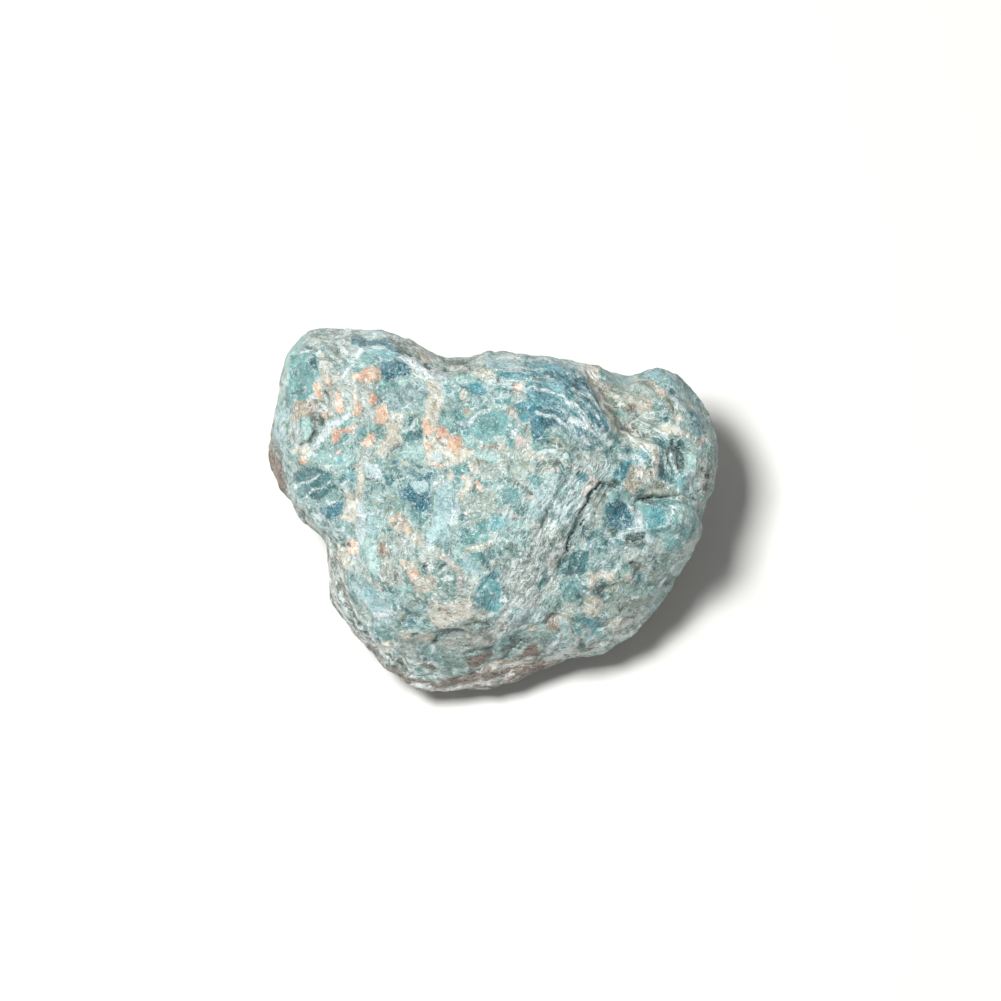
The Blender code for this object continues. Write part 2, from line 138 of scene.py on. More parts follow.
# Upper left shoulder.
area("grit", -34, 18, -32, 25.5, -28.5, 29.5, -22, 29.2, -16, 29, -9, 25, -8, 20, -20, 14, -28, 14)
area("mint", -34.3, 17, -33.3, 22, -32.6, 25.5, -31, 27.6, -29.5, 28.9, -28.6, 28.5, -30, 26.8,
     -31.6, 25, -32.4, 22, -33.3, 17.5)
streak("tan", 0.5, -34.3, 19, -33.6, 22.2)
area("teal", -32.2, 24.8, -28, 24.9, -27.6, 21.6, -28.2, 20.5, -28.6, 18.2, -30.5, 16.9,
     -33.2, 16.6, -32.8, 20, -32.4, 22.5)
area("dark_teal", -29.6, 24, -28, 24.3, -27.8, 22, -29, 22.6)
spot("dark_teal", -31.5, 21.8, 0.5)
streak("dark_teal", 0.4, -31.5, 18.6, -30, 19.2)
spot("dark_teal", -33.1, 17.7, 0.35)
area("grit", -29.5, 28.5, -27, 29.2, -23.6, 29, -23, 26.5, -22.3, 24.5, -24.5, 23, -27, 24.2,
     -28.5, 25.2, -30.2, 26.6)
area("blue_grey", -31.2, 25.3, -30.4, 26.3, -29.8, 26.2, -28.9, 25.3)
streak("white", 0.15, -31.2, 25.1, -28.2, 25.1)
spot("teal", -27.3, 28.7, 0.5)
streak("dark", 0.22, -29.6, 26.1, -28, 25.3)
spot("dark_teal", -26.9, 25.7, 0.4)
streak("dark", 0.2, -25, 26.5, -24.6, 24.8)
streak("dark", 0.2, -26.6, 24.8, -25.5, 24)
spot("peach", -27.1, 24.4, 0.35)
area("blue_grey", -24.6, 22.6, -22.6, 24.3, -22.4, 22.4, -24, 20.8)
area("cream", -27.4, 22.3, -27, 23.4, -26, 23.2, -25.2, 22.6, -24.2, 22, -24, 21, -25, 20.3,
     -25.9, 19.6, -26.9, 20.4, -27.3, 21.2)
streak("white", 0.25, -26, 22, -25.6, 23.2)
streak("white", 0.25, -25, 21.6, -24.6, 22.6)
area("peach", -26.7, 20.8, -25.6, 21, -25.3, 20.3, -26, 19.5, -26.6, 20)
area("peach", -28.3, 20.2, -27.7, 20.3, -27.4, 19, -27.7, 18, -28.4, 18.4)
area("grey_green", -27.2, 19.4, -26, 19.6, -25.2, 19.3, -25.1, 17.5, -25, 16.2, -26.8, 16.3,
     -27.8, 17.6)
streak("dark", 0.25, -26.8, 18.8, -26, 17.2)
area("cream", -24.8, 19.5, -24.1, 19.5, -23.6, 17.8, -23.4, 16, -24.1, 15.3, -24.7, 16.2,
     -24.6, 17.9)
spot("peach", -24, 16.3, 0.45)
area("cream", -22.2, 19.9, -21.8, 19.6, -21.2, 17.5, -20.8, 16, -21.6, 15.4, -22.5, 16.2, -22, 17.6)
streak("cream", 0.3, -20.4, 20, -19.8, 17.6)
area("blue_grey", -18, 19.4, -14, 19.8, -11, 20.8, -10, 19, -12, 16, -16, 15.6, -18, 17)
area("peach", -19.6, 18.4, -18.7, 18.7, -18.2, 17.5, -18.7, 16.3, -19.4, 16.6)
area("turquoise", -20.6, 25.5, -17.5, 25.6, -15, 24.6, -13.2, 23.5, -12.5, 22.9, -14, 22.9,
     -16, 23.8, -17.5, 24.1, -20, 24.8)
area("teal", -22.4, 22.7, -21.3, 24.2, -20.6, 25.2, -19.4, 24.9, -18, 24.4, -17.6, 22.7,
     -18.7, 23, -20, 22.8, -20.6, 21.8, -22.3, 21.6)
spot("mint", -20.9, 23, 0.5)
area("deep_blue", -22.6, 27.8, -21.4, 28.2, -20.2, 27.4, -20.1, 25.9, -21.4, 25.7, -22.4, 26.3)
area("white", -23.8, 29, -23.6, 27.8, -22.6, 28.3, -22.4, 29)
area("sky", -19.9, 28.8, -17.6, 28.9, -17.4, 27.5, -19.8, 27.3)
spot("white", -18.9, 28.2, 0.4)
area("deep_blue", -20, 27, -17.4, 27.4, -15.5, 26.3, -13.5, 24.9, -13.2, 24, -15, 24.6,
     -16.6, 25.6, -17.5, 26.1, -20, 25.9)
area("peach", -22.4, 20.8, -22.3, 21.4, -21.5, 21.2, -20.6, 21.3, -20, 22.2, -19.6, 22.9,
     -19, 22.8, -18, 21.9, -17.8, 21.4, -18.5, 20.5, -20, 20.2, -21.5, 20.4)
streak("white", 0.25, -20.9, 25.4, -22.4, 23, -23.9, 20.7)
area("deep_blue", -17.8, 22.7, -16, 23.1, -14, 23.2, -13.2, 22.4, -13.7, 21.6, -14.8, 21.9,
     -15.6, 21, -16.7, 20.6, -17.6, 21.2)
streak("white", 0.35, -15, 22, -14, 21.6)
streak("white", 0.4, -14.7, 24.2, -12.8, 23.2)
area("teal", -18, 20.6, -16.5, 20.5, -15.5, 20.2, -14.5, 20, -16, 19.3, -18.6, 18.8)
area("mint", -15.4, 20.4, -13.6, 21.5, -12.4, 21.2, -13.4, 20, -14.8, 19.6)
streak("dark", 0.25, -17.9, 18, -17.6, 17)
streak("dark", 0.22, -13, 18, -12.8, 17)

# The crest beside the notch, and the notch's grey flank.
area("grit", -17, 28.8, -14, 28, -11.5, 26.6, -10, 25.2, -9, 23.9, -9.2, 22, -11, 22.2,
     -13, 23.8, -14.8, 25.6, -16.8, 27.3)
streak("dark", 0.3, -16.5, 27.4, -13.2, 24.6)
area("tan", -12.6, 25.5, -10.7, 25.3, -9.8, 23.4, -11.4, 23.2)
area("dark", -11.8, 23, -11, 23.4, -9.8, 22.8, -10.3, 21.9, -11.6, 22.2)
streak("white", 0.35, -13, 23.6, -12, 22.6, -10, 21.1, -7.5, 20.9)
area("grit", -9.8, 25, -8.5, 24.3, -5, 24.2, -3, 25, -1.5, 25.6, -1.3, 23, -3, 22, -6, 22,
     -8.8, 21.5, -9.6, 22.5)
# The dark marks in the notch are painted shade in its hollow.
streak("dark", 0.3, -8, 24, -6.5, 23.8, -4.6, 23.8)
spot("dark", -7.3, 22.7, 0.38)
spot("dark", -7.9, 22.6, 0.3)
area("sky", -1.4, 24, 0.4, 24.8, 3, 25, 5, 24.2, 3.8, 22.6, 0.5, 22.4, -1, 22.7)
spot("cream", -2.3, 23.5, 0.4)
streak("cream", 0.35, -6.5, 23.2, -4.8, 22.5, -3, 21.6, -1.5, 21, 0, 20.6)
area("cream", -2.3, 22.3, -1, 22.2, 0, 21.6, -0.2, 20.9, -1.7, 21, -2.9, 21.7)
spot("tan", -0.7, 21.4, 0.35)
streak("dark", 0.22, -4.2, 22.9, -3.5, 22, -2.9, 22.3)
area("blue_grey", -8, 20.9, -3, 20.6, -0.5, 20.2, 2, 18, -2, 16.5, -8, 16.6)
area("cream", -10.9, 20.6, -9, 20.4, -8.2, 19.2, -7.9, 17.5, -8.4, 15.6, -8.8, 13.6,
     -10.9, 13.9, -11, 16, -10.3, 18.6)
area("teal", -7.9, 20, -6.7, 19.9, -6.5, 18.6, -7.5, 18.2)
area("teal", -6.2, 19.9, -4.4, 19.9, -3.7, 18.9, -3.2, 18, -3.4, 16.8, -4.6, 16.4, -6.4, 17.2)
streak("mint", 0.5, -7, 20.8, -5, 20.8, -3.5, 20.2)
area("tan", -5.2, 19.3, -4.3, 19, -4, 17.6, -4.6, 16.6, -5.3, 17.6)
area("clear", -4, 20, -2.7, 20.2, -1.8, 19.8, -1, 19.2, -1.4, 18.4, -2, 18.1, -3, 18.2, -4.3, 19.5)

# Left rim and the grains inside it.
area("crust", -36.3, 12, -35.6, 12.5, -34.8, 10, -33.6, 7.5, -33, 5, -32.6, 2, -33.6, 0.6,
     -35.4, 3.6, -36.2, 7)
streak("dark", 0.35, -34.8, 10.3, -33.8, 8.3)
area("blue_grey", -35.3, 12.8, -34, 13.4, -33, 12, -33, 10, -34.4, 10.4, -35, 11.6)
area("sky", -34.5, 17, -33, 16.6, -32.4, 15.4, -33, 14.6, -34.6, 13.4, -34.8, 15.2)
area("tan", -32.6, 14.9, -31.2, 16.2, -29.6, 17.5, -28, 17.6, -27.2, 16.4, -26.6, 15.3,
     -27.5, 15.2, -28.4, 15.4, -29.4, 15, -30.3, 15, -31, 14.3, -32, 13.9)
spot("rust", -30.8, 15.4, 0.4)
spot("rust", -28.4, 16, 0.55)
area("peach", -27.3, 15.4, -26.5, 15.6, -26.1, 14.6, -26.6, 14.2, -27.4, 14.6)
area("mint", -30, 15, -29.3, 14.9, -28.8, 14, -28.6, 12.6, -29, 11.8, -29.8, 11.3, -30.3, 11.6,
     -30.3, 13.5)
area("grit", -32.4, 13.4, -30.5, 14.4, -30.3, 11.2, -31, 10.6, -32.2, 10.4, -32.8, 11.8)
streak("dark", 0.22, -28.6, 14.7, -28.1, 13.6, -27.9, 12.4, -28.4, 11.6, -29.2, 10.8, -30,
       10.8, -31, 10.3)
area("blue_grey", -27.6, 15, -26.5, 14.4, -26.2, 12.8, -27.6, 11.8, -28, 13.8)
area("dark", -27.9, 15, -27, 14.4, -26.9, 13.6, -27.6, 13.2, -28, 13.8)
streak("white", 0.55, -29.4, 8.8, -27.6, 10.9, -26.2, 12.6, -24.6, 14, -22.9, 14.9)
area("teal", -23.8, 14, -22.8, 14.6, -22, 14, -22.4, 13.5, -23.7, 13.2)
area("teal", -24.4, 12, -23.2, 12.3, -22.6, 11.6, -23.6, 10.6, -24.5, 10.4, -25, 11)
area("teal", -21.6, 13, -19.8, 13.3, -19.7, 12.4, -20.4, 11.6, -21.4, 11.3, -21.7, 12.2)
area("peach", -24.2, 12.9, -23, 13.4, -21.8, 13.3, -21.9, 12.6, -22.8, 12.3, -23.6, 12.4)
area("coral", -25.4, 12.2, -25, 12.9, -24.4, 12.7, -24.2, 11.9, -24.6, 11.2, -25, 10.6, -25.6, 10.7)
area("peach", -20.9, 10.8, -19.9, 11.6, -19, 12.7, -18.8, 12, -19.2, 10.9, -20, 10, -20.8, 10.2)
area("peach", -25.1, 9.4, -24, 9.9, -23.8, 9.3, -24.8, 8.9)
area("cream", -31.5, 10.2, -30, 10.3, -28.6, 10.3, -28.9, 9.4, -29.6, 8.9, -31, 9, -32.2, 9.2)
spot("peach", -30, 8.1, 0.75)
spot("white", -28, 8.6, 0.5)
area("mint", -26.9, 9.4, -25, 8.8, -23.6, 9.2, -22.6, 9.4, -21.5, 8.6, -22.3, 7.4, -24, 6.7,
     -26.2, 7.2, -28.4, 7.6, -28, 8.3)
area("turquoise", -25.7, 7.9, -24.2, 9, -23.5, 8.4, -23.9, 7.5, -25.4, 7.5)
area("grit", -22, 9.6, -20.6, 10, -19, 9.6, -18.3, 8.4, -20.2, 7.9, -21.4, 8.4)
area("tan", -22.6, 6.8, -21.5, 7.3, -20.6, 7.9, -20.5, 7.2, -21.4, 6.8)
area("blue_grey", -32.4, 5.6, -31, 6, -29, 7.2, -27.4, 6.8, -27, 5, -26, 3.5, -25, 2.8,
     -25.5, 1.2, -29, 1, -31.6, 1.6, -32.4, 3)
area("dark_teal", -32.2, 5, -31.2, 5.8, -30, 5.4, -30.4, 4.6, -31.8, 4.3)
streak("dark_teal", 0.3, -31, 2.7, -29.5, 3.4, -27.6, 3.7)
streak("dark_teal", 0.3, -28.2, 2.4, -27, 3.2)
streak("white", 0.18, -32, 4, -29.8, 4.7)
streak("white", 0.18, -29.3, 5, -28, 6.8)
streak("white", 0.18, -26.8, 6, -26.2, 5, -25.8, 4.2)
area("grey_green", -27, 7, -25.2, 6.5, -25, 5.6, -26.4, 5.3, -27, 6)
area("teal", -24.5, 6.2, -23.5, 6.3, -21.6, 6.1, -21.7, 5, -22.3, 2.8, -22.7, 2.1, -23.8,
     2.6, -24.6, 3.7)
area("turquoise", -23.2, 6.2, -21.7, 6, -22, 4.2, -22.8, 4.6)
area("dark_teal", -24.4, 5.8, -23.6, 5.9, -23.4, 4.6, -24.5, 4.2)
area("dark_teal", -24.5, 3.5, -23.2, 4, -22.5, 2.4, -23.4, 2.2)
streak("white", 0.15, -24.3, 4, -23.1, 4.6)
streak("cream", 0.55, -21, 6.5, -20.9, 4, -21.2, 1)
area("lavender", -20.2, 7.6, -18.2, 7.4, -17.4, 5, -19.8, 5, -20.2, 6)
spot("dark", -18.5, 4.7, 0.25)
streak("dark", 0.2, -20.2, 4.9, -19, 5)

# Middle of the face, left of centre.
area("peach", -18.6, 16.4, -17.3, 16.6, -16.6, 15.2, -16.4, 14.3, -17.3, 13.8, -18.3, 13.8,
     -18.5, 15)
area("cream", -16.3, 15.6, -14.2, 15.3, -14.4, 13.6, -14.9, 12.8, -14.3, 11.2, -15, 10.4,
     -16.8, 9.4, -18, 8.4, -18.6, 9.2, -18, 10.6, -16.8, 12, -17.2, 13.6)
spot("tan", -15, 14.4, 0.5)
streak("dark", 0.16, -17.2, 8.3, -16.6, 9, -15.9, 9.8, -14.5, 10.6)
area("dark_teal", -13.6, 15.2, -12.6, 14.9, -12.3, 13.9, -13.4, 13, -14.2, 13.4, -13.3, 14.2)
area("dark_teal", -14.2, 12.2, -13, 12.8, -11.2, 12.9, -11.1, 11.6, -12.2, 11.2, -13.4,
     10.6, -14.3, 11.2)
area("olive", -11.8, 15.3, -10.6, 15.1, -10.4, 13.6, -11.4, 13.4)
streak("white", 0.25, -13.6, 12.7, -12.8, 13.2, -12.5, 14.2)
area("mint", -14.2, 10.4, -12.6, 10.3, -10.8, 10.6, -11.3, 8.6, -12.4, 7.8, -14.5, 8.3, -14.9, 9.4)
area("clear", -16.4, 7.2, -15.6, 8, -14.6, 8.3, -14.2, 7.9, -15, 7.3, -15.9, 7)
area("cream", -14.6, 7.6, -13.3, 7.8, -13.6, 6.9, -14.6, 6.7)
area("blue_grey", -14.3, 6.8, -13.3, 7, -12.4, 6.4, -12.6, 5.2, -13.8, 5, -14.4, 5.8)
area("dark_teal", -17.2, 5.2, -16, 5.6, -15.2, 5, -16, 4.1, -17, 4)
area("teal", -13, 1.6, -9.8, 1.4, -9.6, -0.2, -10.2, -1.4, -11.2, -2.6, -12.8, -2.2, -13.2, -0.4)
area("deep_blue", -10.9, 5.8, -9.7, 6.4, -9.4, 5.6, -9.7, 4.8, -10, 3.6, -10.6, 2.6, -9.8, 1.4,
     -9.6, 0, -10.6, -0.5, -12.4, 0.4, -12.4, 2.6, -13.6, 3.6, -14, 4.4, -12.6, 4.8)
area("dark_teal", -10.6, 1, -9.5, 0.2, -9.5, -0.4, -10.8, -0.4)
area("blue_grey", -9.6, 6.2, -8, 6.2, -7.6, 5.6, -9, 4, -10.4, 2.6, -9.9, 4.4)
streak("white", 0.16, -9.9, 3.6, -8, 5.4)
area("sky", -7.9, 4.2, -6.4, 4.2, -5.9, 3.2, -6.2, 1, -6.8, -0.6, -7.6, -2.6, -8.4, -4.2,
     -9.7, -4.6, -9.6, -2.4, -9.2, -0.6, -8.4, 1, -8, 2.4)
streak("clear", 0.45, -7.4, 3.4, -7.7, 1.4, -8.2, -0.4)
area("lavender", -6.6, 2.6, -5.6, 2, -5.2, 0.4, -6, -1.8, -7.2, -2.4, -6.6, -0.4)
area("teal", -6, 6.6, -4.6, 6.9, -4.4, 5.6, -5.2, 4.2, -6.2, 4.2)
area("cream", -7.4, 6.4, -6.2, 6, -6.2, 4.8, -7.2, 4.9, -7.8, 6)
area("cream", -4.4, 6, -3.6, 5.4, -3.4, 4, -4.4, 2.4, -5, 1.6, -5.8, 2.4, -4.8, 4)
streak("dark", 0.2, -3.1, 5, -3, 4, -3.4, 3.4)
area("peach", -3, 3.6, -2.5, 4.5, -1.9, 4.2, -1.7, 3.7, -2.3, 3.4)
area("cream", -10.8, 13.2, -9.6, 13.6, -8.2, 13.5, -7.6, 12, -6, 12.2, -4.8, 11.4, -4, 10.6,
     -2.9, 9.4, -3.2, 8.4, -4.2, 8.6, -5.2, 7.6, -6.6, 7.2, -8.2, 6.6, -9.8, 7, -10.8, 8,
     -10.6, 9.4, -11, 10.6, -11.2, 12)
area("peach", -10.7, 12.5, -9.9, 13.6, -8.9, 12.9, -9.8, 12)
area("coral", -6.7, 11.6, -5.6, 12.1, -5.1, 11.2, -5.6, 10.3, -6.5, 10.6)
spot("coral", -10.5, 9.9, 0.5)
streak("tan", 0.4, -8.8, 12.3, -8.2, 10.4)
spot("white", -8.7, 8.4, 0.8)
streak("peach", 0.3, -9.4, 7.5, -8.6, 7.2, -8, 7.3)
spot("dark", -10.4, 11.6, 0.25)
spot("dark", -7.2, 8, 0.3)
area("mint", -7.8, 15, -7.2, 14.8, -6.2, 13.4, -6.6, 12.7, -7.6, 12.9, -8, 14)
area("teal", -7.4, 16, -5, 16.2, -3.2, 15.2, -2, 16, 0.5, 16, 2, 15, 3, 13, 1.5, 11.2,
     0, 10.9, -2.4, 11, -3.4, 12, -4.6, 12.2, -5.8, 13, -6, 14)
area("clear", -5.2, 12.6, -4, 12.9, -3.5, 12.4, -4.3, 12, -5, 12.1)
streak("white", 0.25, -5.8, 13.8, -4, 13.6, -3, 14.8, -2, 15.6, -0.6, 15.8)
area("tan", -5, 15.8, -3.8, 16.4, -3.6, 15.2, -4.6, 14.6)
area("mint", -4.8, 11.8, -3.2, 11.8, -2.8, 10.6, -3.6, 9.8, -4.6, 10.4)
area("rust", -2.4, 10, -1.6, 10.5, -0.6, 10.2, 0.4, 10.6, 1.8, 10.4, 2, 9.8, 0.4, 9.4, -0.6,
     9.9, -1.8, 9.6)
area("mint", -2.8, 9.4, -1, 9.4, 0.6, 9.2, 0.6, 8, -1.2, 8, -2.8, 8.4)
streak("tan", 0.35, -2.6, 7.9, -1.5, 7.8)
area("cream", -3.8, 7.4, -2.6, 7.8, -2.2, 6.4, -3.2, 5.6, -3.8, 6.4)
area("grey_green", -2, 7.6, 0.5, 7.6, 0.6, 5, -1.6, 4.6, -2.4, 5.6)
area("grey_green", -2.6, 3.2, 0.4, 3.4, 0.6, 0.8, -1, -1, -4, 0.2, -4.8, 1.2, -3.4, 2)

# Top of the face: the pale ledge under the rim, and the blue dome.
area("clear", 5, 24, 10, 23.8, 12.5, 22.5, 14, 21, 15, 18.8, 16.2, 17, 17.8, 14, 18.4, 11.5,
     15, 9.6, 11, 12.6, 9, 13.8, 6, 12.6, 3.4, 14.6, 3, 17, 5, 20)
area("sky", -0.5, 24, 1.5, 24, 3.5, 23.4, 4.7, 22.6, 4.4, 22.1, 2.5, 22.2, 0.3, 22.3, -0.5, 22.8)
area("white", 0, 24.8, 2.5, 24.8, 4.6, 24, 3.5, 23.6, 1.5, 24.1, 0, 24.1)
area("grit", 0, 25.6, 2.5, 25.4, 4.8, 24.7, 4.4, 24.3, 2.4, 24.5, 0, 24.9)
streak("white", 0.15, 0.3, 22.2, 2, 22.4, 4.5, 22.2, 5.2, 22.4)
streak("dark_teal", 0.16, 2.5, 22, 4.8, 21.9, 5.8, 22.3, 7.2, 22.4, 9, 22.3)
area("clear", 0.3, 22, 2.5, 22.1, 4.8, 21.6, 6, 21, 5, 20.3, 3, 20.9, 2, 20.4, 0.8, 21.2)
area("deep_blue", 4.6, 23.9, 5, 24, 5.4, 23, 5.2, 22.6, 4.7, 22.9)
area("deep_blue", 6, 24, 7, 23.7, 7.4, 23.2, 6.4, 23.2, 5.7, 23.6)
streak("deep_blue", 0.2, 7.8, 23.8, 10, 23.6, 11.5, 23)
area("deep_blue", 7.6, 22, 9.4, 22, 10, 20.4, 8.8, 19.8, 8, 20.6)
area("deep_blue", 10.3, 21.4, 12, 21.6, 13.4, 20.8, 14.2, 19.6, 13.3, 18.9, 13.2, 20, 12,
     20.2, 10.6, 20.6)
area("deep_blue", 13.4, 19.6, 14.3, 19.2, 15.3, 18.6, 16, 17.6, 16.2, 16.6, 15.2, 16.7, 14,
     17.3, 13.8, 18.4)
streak("deep_blue", 0.35, 9.6, 19.5, 11.3, 19.5, 12.8, 18.7)
area("deep_blue", 9.4, 17.6, 10.6, 17.4, 10.4, 16.6, 9.4, 16.8)
area("deep_blue", 6.6, 16.9, 8.6, 17, 9.6, 16.2, 9, 15.4, 7, 15.7)
spot("deep_blue", 7.6, 19.2, 0.45)
spot("deep_blue", 6.4, 19.6, 0.3)
area("sky", 12.8, 21.8, 13.9, 21.3, 14.1, 20.7, 13.4, 20.6, 12.6, 21.2)
area("sky", 9.8, 19, 12.4, 18.4, 12.8, 17.2, 11, 17.4, 9.8, 18)
area("olive", 12.6, 17, 14, 16.8, 14.2, 16.1, 13, 16.2)
area("grey_green", 3, 18.7, 5.5, 19.2, 7.4, 18.6, 7, 17.4, 4.4, 17.2, 3, 16.4)
area("teal", 6, 21.3, 8.2, 21.2, 8.8, 20.6, 7.6, 20.3, 6.2, 20.4)
area("coral", 3, 20, 3.6, 20.1, 4.6, 20.1, 5, 19.9, 4.8, 19.1, 4, 18.8, 3.2, 18.6, 3.3, 19.3)
spot("rust", 3.9, 20, 0.25)
spot("white", 3.9, 18.3, 0.35)
spot("dark", 0.9, 20.5, 0.28)
spot("dark", 2.7, 20.5, 0.25)
area("mint", 0, 20.4, 2, 20.3, 3, 20, 2.6, 19.8, 1, 19.9, 0, 20)
area("teal", 0.2, 19.4, 1, 19.8, 2.2, 19.6, 2.7, 19.2, 2, 18.8, 0.8, 18.8)
area("mint", 0, 18.9, 2.6, 18.5, 3, 17.6, 1.5, 18, 0, 18.2)
area("teal", -0.4, 17.8, 2.6, 17.8, 2.8, 17, 1.5, 16.6, 0, 17)
area("cream", 12.2, 23.8, 14.5, 23.4, 17.5, 23, 16.8, 22.4, 16.4, 21.6, 16.6, 20.8, 18.5, 20.2,
     16.5, 20, 14.8, 20.6, 13.6, 22.4)
area("blue_grey", 15, 20, 16.4, 19.8, 17, 18.6, 16.8, 17.4, 16, 18, 15, 19)
area("tan", 16.5, 19.6, 18.5, 19.8, 18.5, 17.6, 17.2, 17.4, 16.8, 18.5)
area("olive", 17.4, 18, 18.5, 17.8, 18.5, 16, 17.5, 16.4)
area("teal", 16.6, 22.2, 17.2, 22.5, 18.5, 22.4, 18.7, 21.6, 17.6, 21.4, 17.2, 20.8, 16.6, 21.3)
streak("white", 0.28, 13, 23, 14.2, 21.5, 14.6, 20.2, 15, 18.8, 16.3, 17.4, 17, 16.6)

# Right lobe, its top.
area("grey_green", 18, 21.8, 22, 21.6, 25.6, 20.3, 25.6, 18.6, 25.3, 17.9, 23, 17.9, 21, 18,
     18, 18.4)
area("blue_grey", 17.6, 21.2, 19.3, 21.5, 19.4, 20.3, 18, 20.4)
area("mint", 19, 21.8, 20.6, 21.7, 22.3, 21.2, 22.3, 20.2, 20, 19.9, 19.4, 20.6)
area("blue_grey", 20.1, 21.4, 20.9, 21.7, 21.9, 21.3, 22, 20.8, 20.8, 20.6)
area("tan", 17.5, 19.8, 18.6, 19.6, 19.5, 19, 20.4, 18.9, 21.5, 18.3, 22.5, 17.8, 22.6, 17,
     21.4, 16.6, 20.4, 16, 17.5, 16, 17.5, 18)
streak("rust", 0.22, 17.5, 20, 19.2, 19.2, 19.8, 18.9)
area("olive", 19, 18.4, 20.6, 18.2, 21.4, 17, 19.6, 16.6, 18.6, 17.2)
area("rust", 20.4, 17, 22.7, 17.4, 22.6, 16.2, 21.3, 16)
streak("cream", 0.22, 22.2, 21, 22.7, 20.3, 23.8, 20.8, 25, 20.7)
area("dark", 22.7, 19, 23.2, 18.9, 23.5, 18.5, 23, 18.4)
area("teal", 22.7, 21.6, 23.8, 21.8, 24.6, 21.2, 25.4, 20.9, 24, 20.8, 22.8, 21)
area("turquoise", 24, 21.8, 25, 22, 26.3, 22.3, 26.9, 21.4, 26.5, 20.6, 25.2, 20.9, 24.8, 21.5)
area("mint", 26.2, 21, 26.9, 21.8, 27.3, 21, 27.4, 19.7, 27, 19.5, 26.4, 20.2)
area("teal", 26.8, 21.9, 27.5, 22.3, 27.7, 21.3, 28.6, 21, 29.7, 20.7, 30.2, 20, 29, 19.6,
     28.4, 19.4, 27.8, 20, 27.4, 20.8)
area("blue_grey", 28, 22.3, 29.3, 21.8, 28.8, 21.2, 27.8, 21.6)
streak("teal", 0.22, 26.5, 22.7, 27.7, 22.9, 29, 22.2, 30.4, 21, 31.4, 19.6)
area("blue_grey", 28.8, 19.8, 30, 19.4, 31, 18.2, 30.2, 17.2, 28.8, 17.6, 28.6, 18.4)
area("deep_blue", 27.6, 19.8, 28.4, 19.5, 28.9, 18.6, 28.6, 18.2, 27.7, 18.5)
streak("white", 0.3, 27.9, 17.7, 28.7, 17.5, 28.9, 16.5)
area("cream", 25.8, 19.8, 27.2, 19.4, 27.2, 18.2, 26, 18)
streak("peach", 0.22, 25.3, 20.4, 25.7, 19.6, 26.6, 18.6, 27, 18.1)
area("tan", 22.6, 18, 24.5, 17.9, 25.4, 17, 25.2, 16, 22.7, 16)
spot("rust", 23.7, 17.2, 0.4)
streak("olive", 0.22, 22.9, 18.2, 24.5, 18.2, 25.6, 18)
area("olive", 27.2, 17.8, 28, 17.8, 28.2, 16, 27, 16.2)
area("grit", 29.4, 17.4, 31, 17.4, 31.4, 16, 29.4, 16)
area("clear", 31.7, 18.8, 32.3, 18, 33, 17.5, 33.3, 16.8, 32.6, 16, 32, 16.6, 31.8, 17.6)

# Right of centre: the crystals under the dome and the long banded ridge below them.
area("grit", 4.6, 2.4, 7, 1.4, 10, 1.6, 14.4, 1.4, 13.4, -0.6, 12.2, -3.4, 11.4, -6, 10, -8,
     9, -10, 8, -12.6, 7.4, -15, 7, -18, 5, -18.4, 2.4, -19, 0.5, -17, 1.6, -14, 1.6, -10,
     2.6, -7.6, 5, -6, 6, -4, 5.6, -1)
area("teal", -0.5, 15, 1.4, 14.9, 2.5, 14.4, 2.6, 13.2, 1.2, 13.2, -0.5, 13.4)
area("grey_green", 0, 11.8, 1.5, 11.6, 2, 10.9, 0.8, 10.4, -0.2, 11)
spot("white", 2.9, 12.4, 0.35)
spot("white", 2.4, 13.4, 0.22)
area("tan", 2, 16.2, 3.3, 16.2, 3.2, 15, 2.4, 14.9)
spot("dark", 3.5, 15.7, 0.22)
spot("dark", 4.3, 15.5, 0.25)
area("blue_grey", 3, 14, 4.4, 13.6, 4.6, 12.7, 3.4, 12.6, 2.8, 13.2)
area("blush", 3.2, 11.8, 4.2, 12.2, 5, 11.7, 5.1, 10.2, 4.2, 9.9, 3.3, 10.2)
area("olive", 4.2, 10.1, 5.1, 10, 5, 9.2, 4.2, 9.1)
area("teal", 2.2, 11.4, 3.2, 11.6, 3.3, 10.4, 2.4, 10)
spot("white", -0.3, 9.3, 0.22)
spot("white", 2.3, 8.9, 0.25)
area("grey_green", 0.6, 9, 1.8, 9, 2.4, 8.4, 2.6, 6.6, 2.4, 5.6, 0.4, 5.2, 0.2, 7, 0.8, 7.6)
streak("white", 0.14, 0, 6.4, 1.2, 6.4, 2, 5.9)
area("pale", 2.6, 8.6, 3.8, 8.2, 4.2, 7, 4, 6, 3, 6, 2.8, 7.2)
area("olive", 3.6, 8.3, 5, 8.3, 6.6, 7.4, 7, 6, 6.2, 5.8, 5, 6.2, 4.2, 7)
area("cream", 4.4, 9.2, 5.8, 9.2, 6.6, 8.6, 6, 8, 4.8, 8.3)
area("cream", 6.6, 8.4, 7.8, 8.6, 9, 8.2, 8.6, 7.6, 7.2, 7.6)
area("dark_teal", 7.6, 16.3, 9, 16.3, 10, 15, 10, 13.6, 8.6, 13.9, 7.8, 15)
area("deep_blue", 5.2, 14.2, 6.2, 14.4, 7.6, 14.1, 7.7, 13.3, 6.6, 13.1, 5.6, 13.7)
area("deep_blue", 5.6, 15.8, 7.4, 15.7, 7.6, 15.2, 6.2, 15.1, 5.2, 15.1)
area("teal", 5.9, 13, 7.9, 13.2, 8.8, 12.6, 9, 11, 8.4, 10, 7.4, 9, 6.4, 9.8, 6, 11.4)
streak("white", 0.2, 7.8, 13.2, 8.1, 12.5)
spot("white", 6.9, 13.1, 0.22)
streak("white", 0.14, 7.1, 12.1, 7.5, 11.7)
streak("white", 0.16, 7.1, 10.5, 7.5, 9.9)
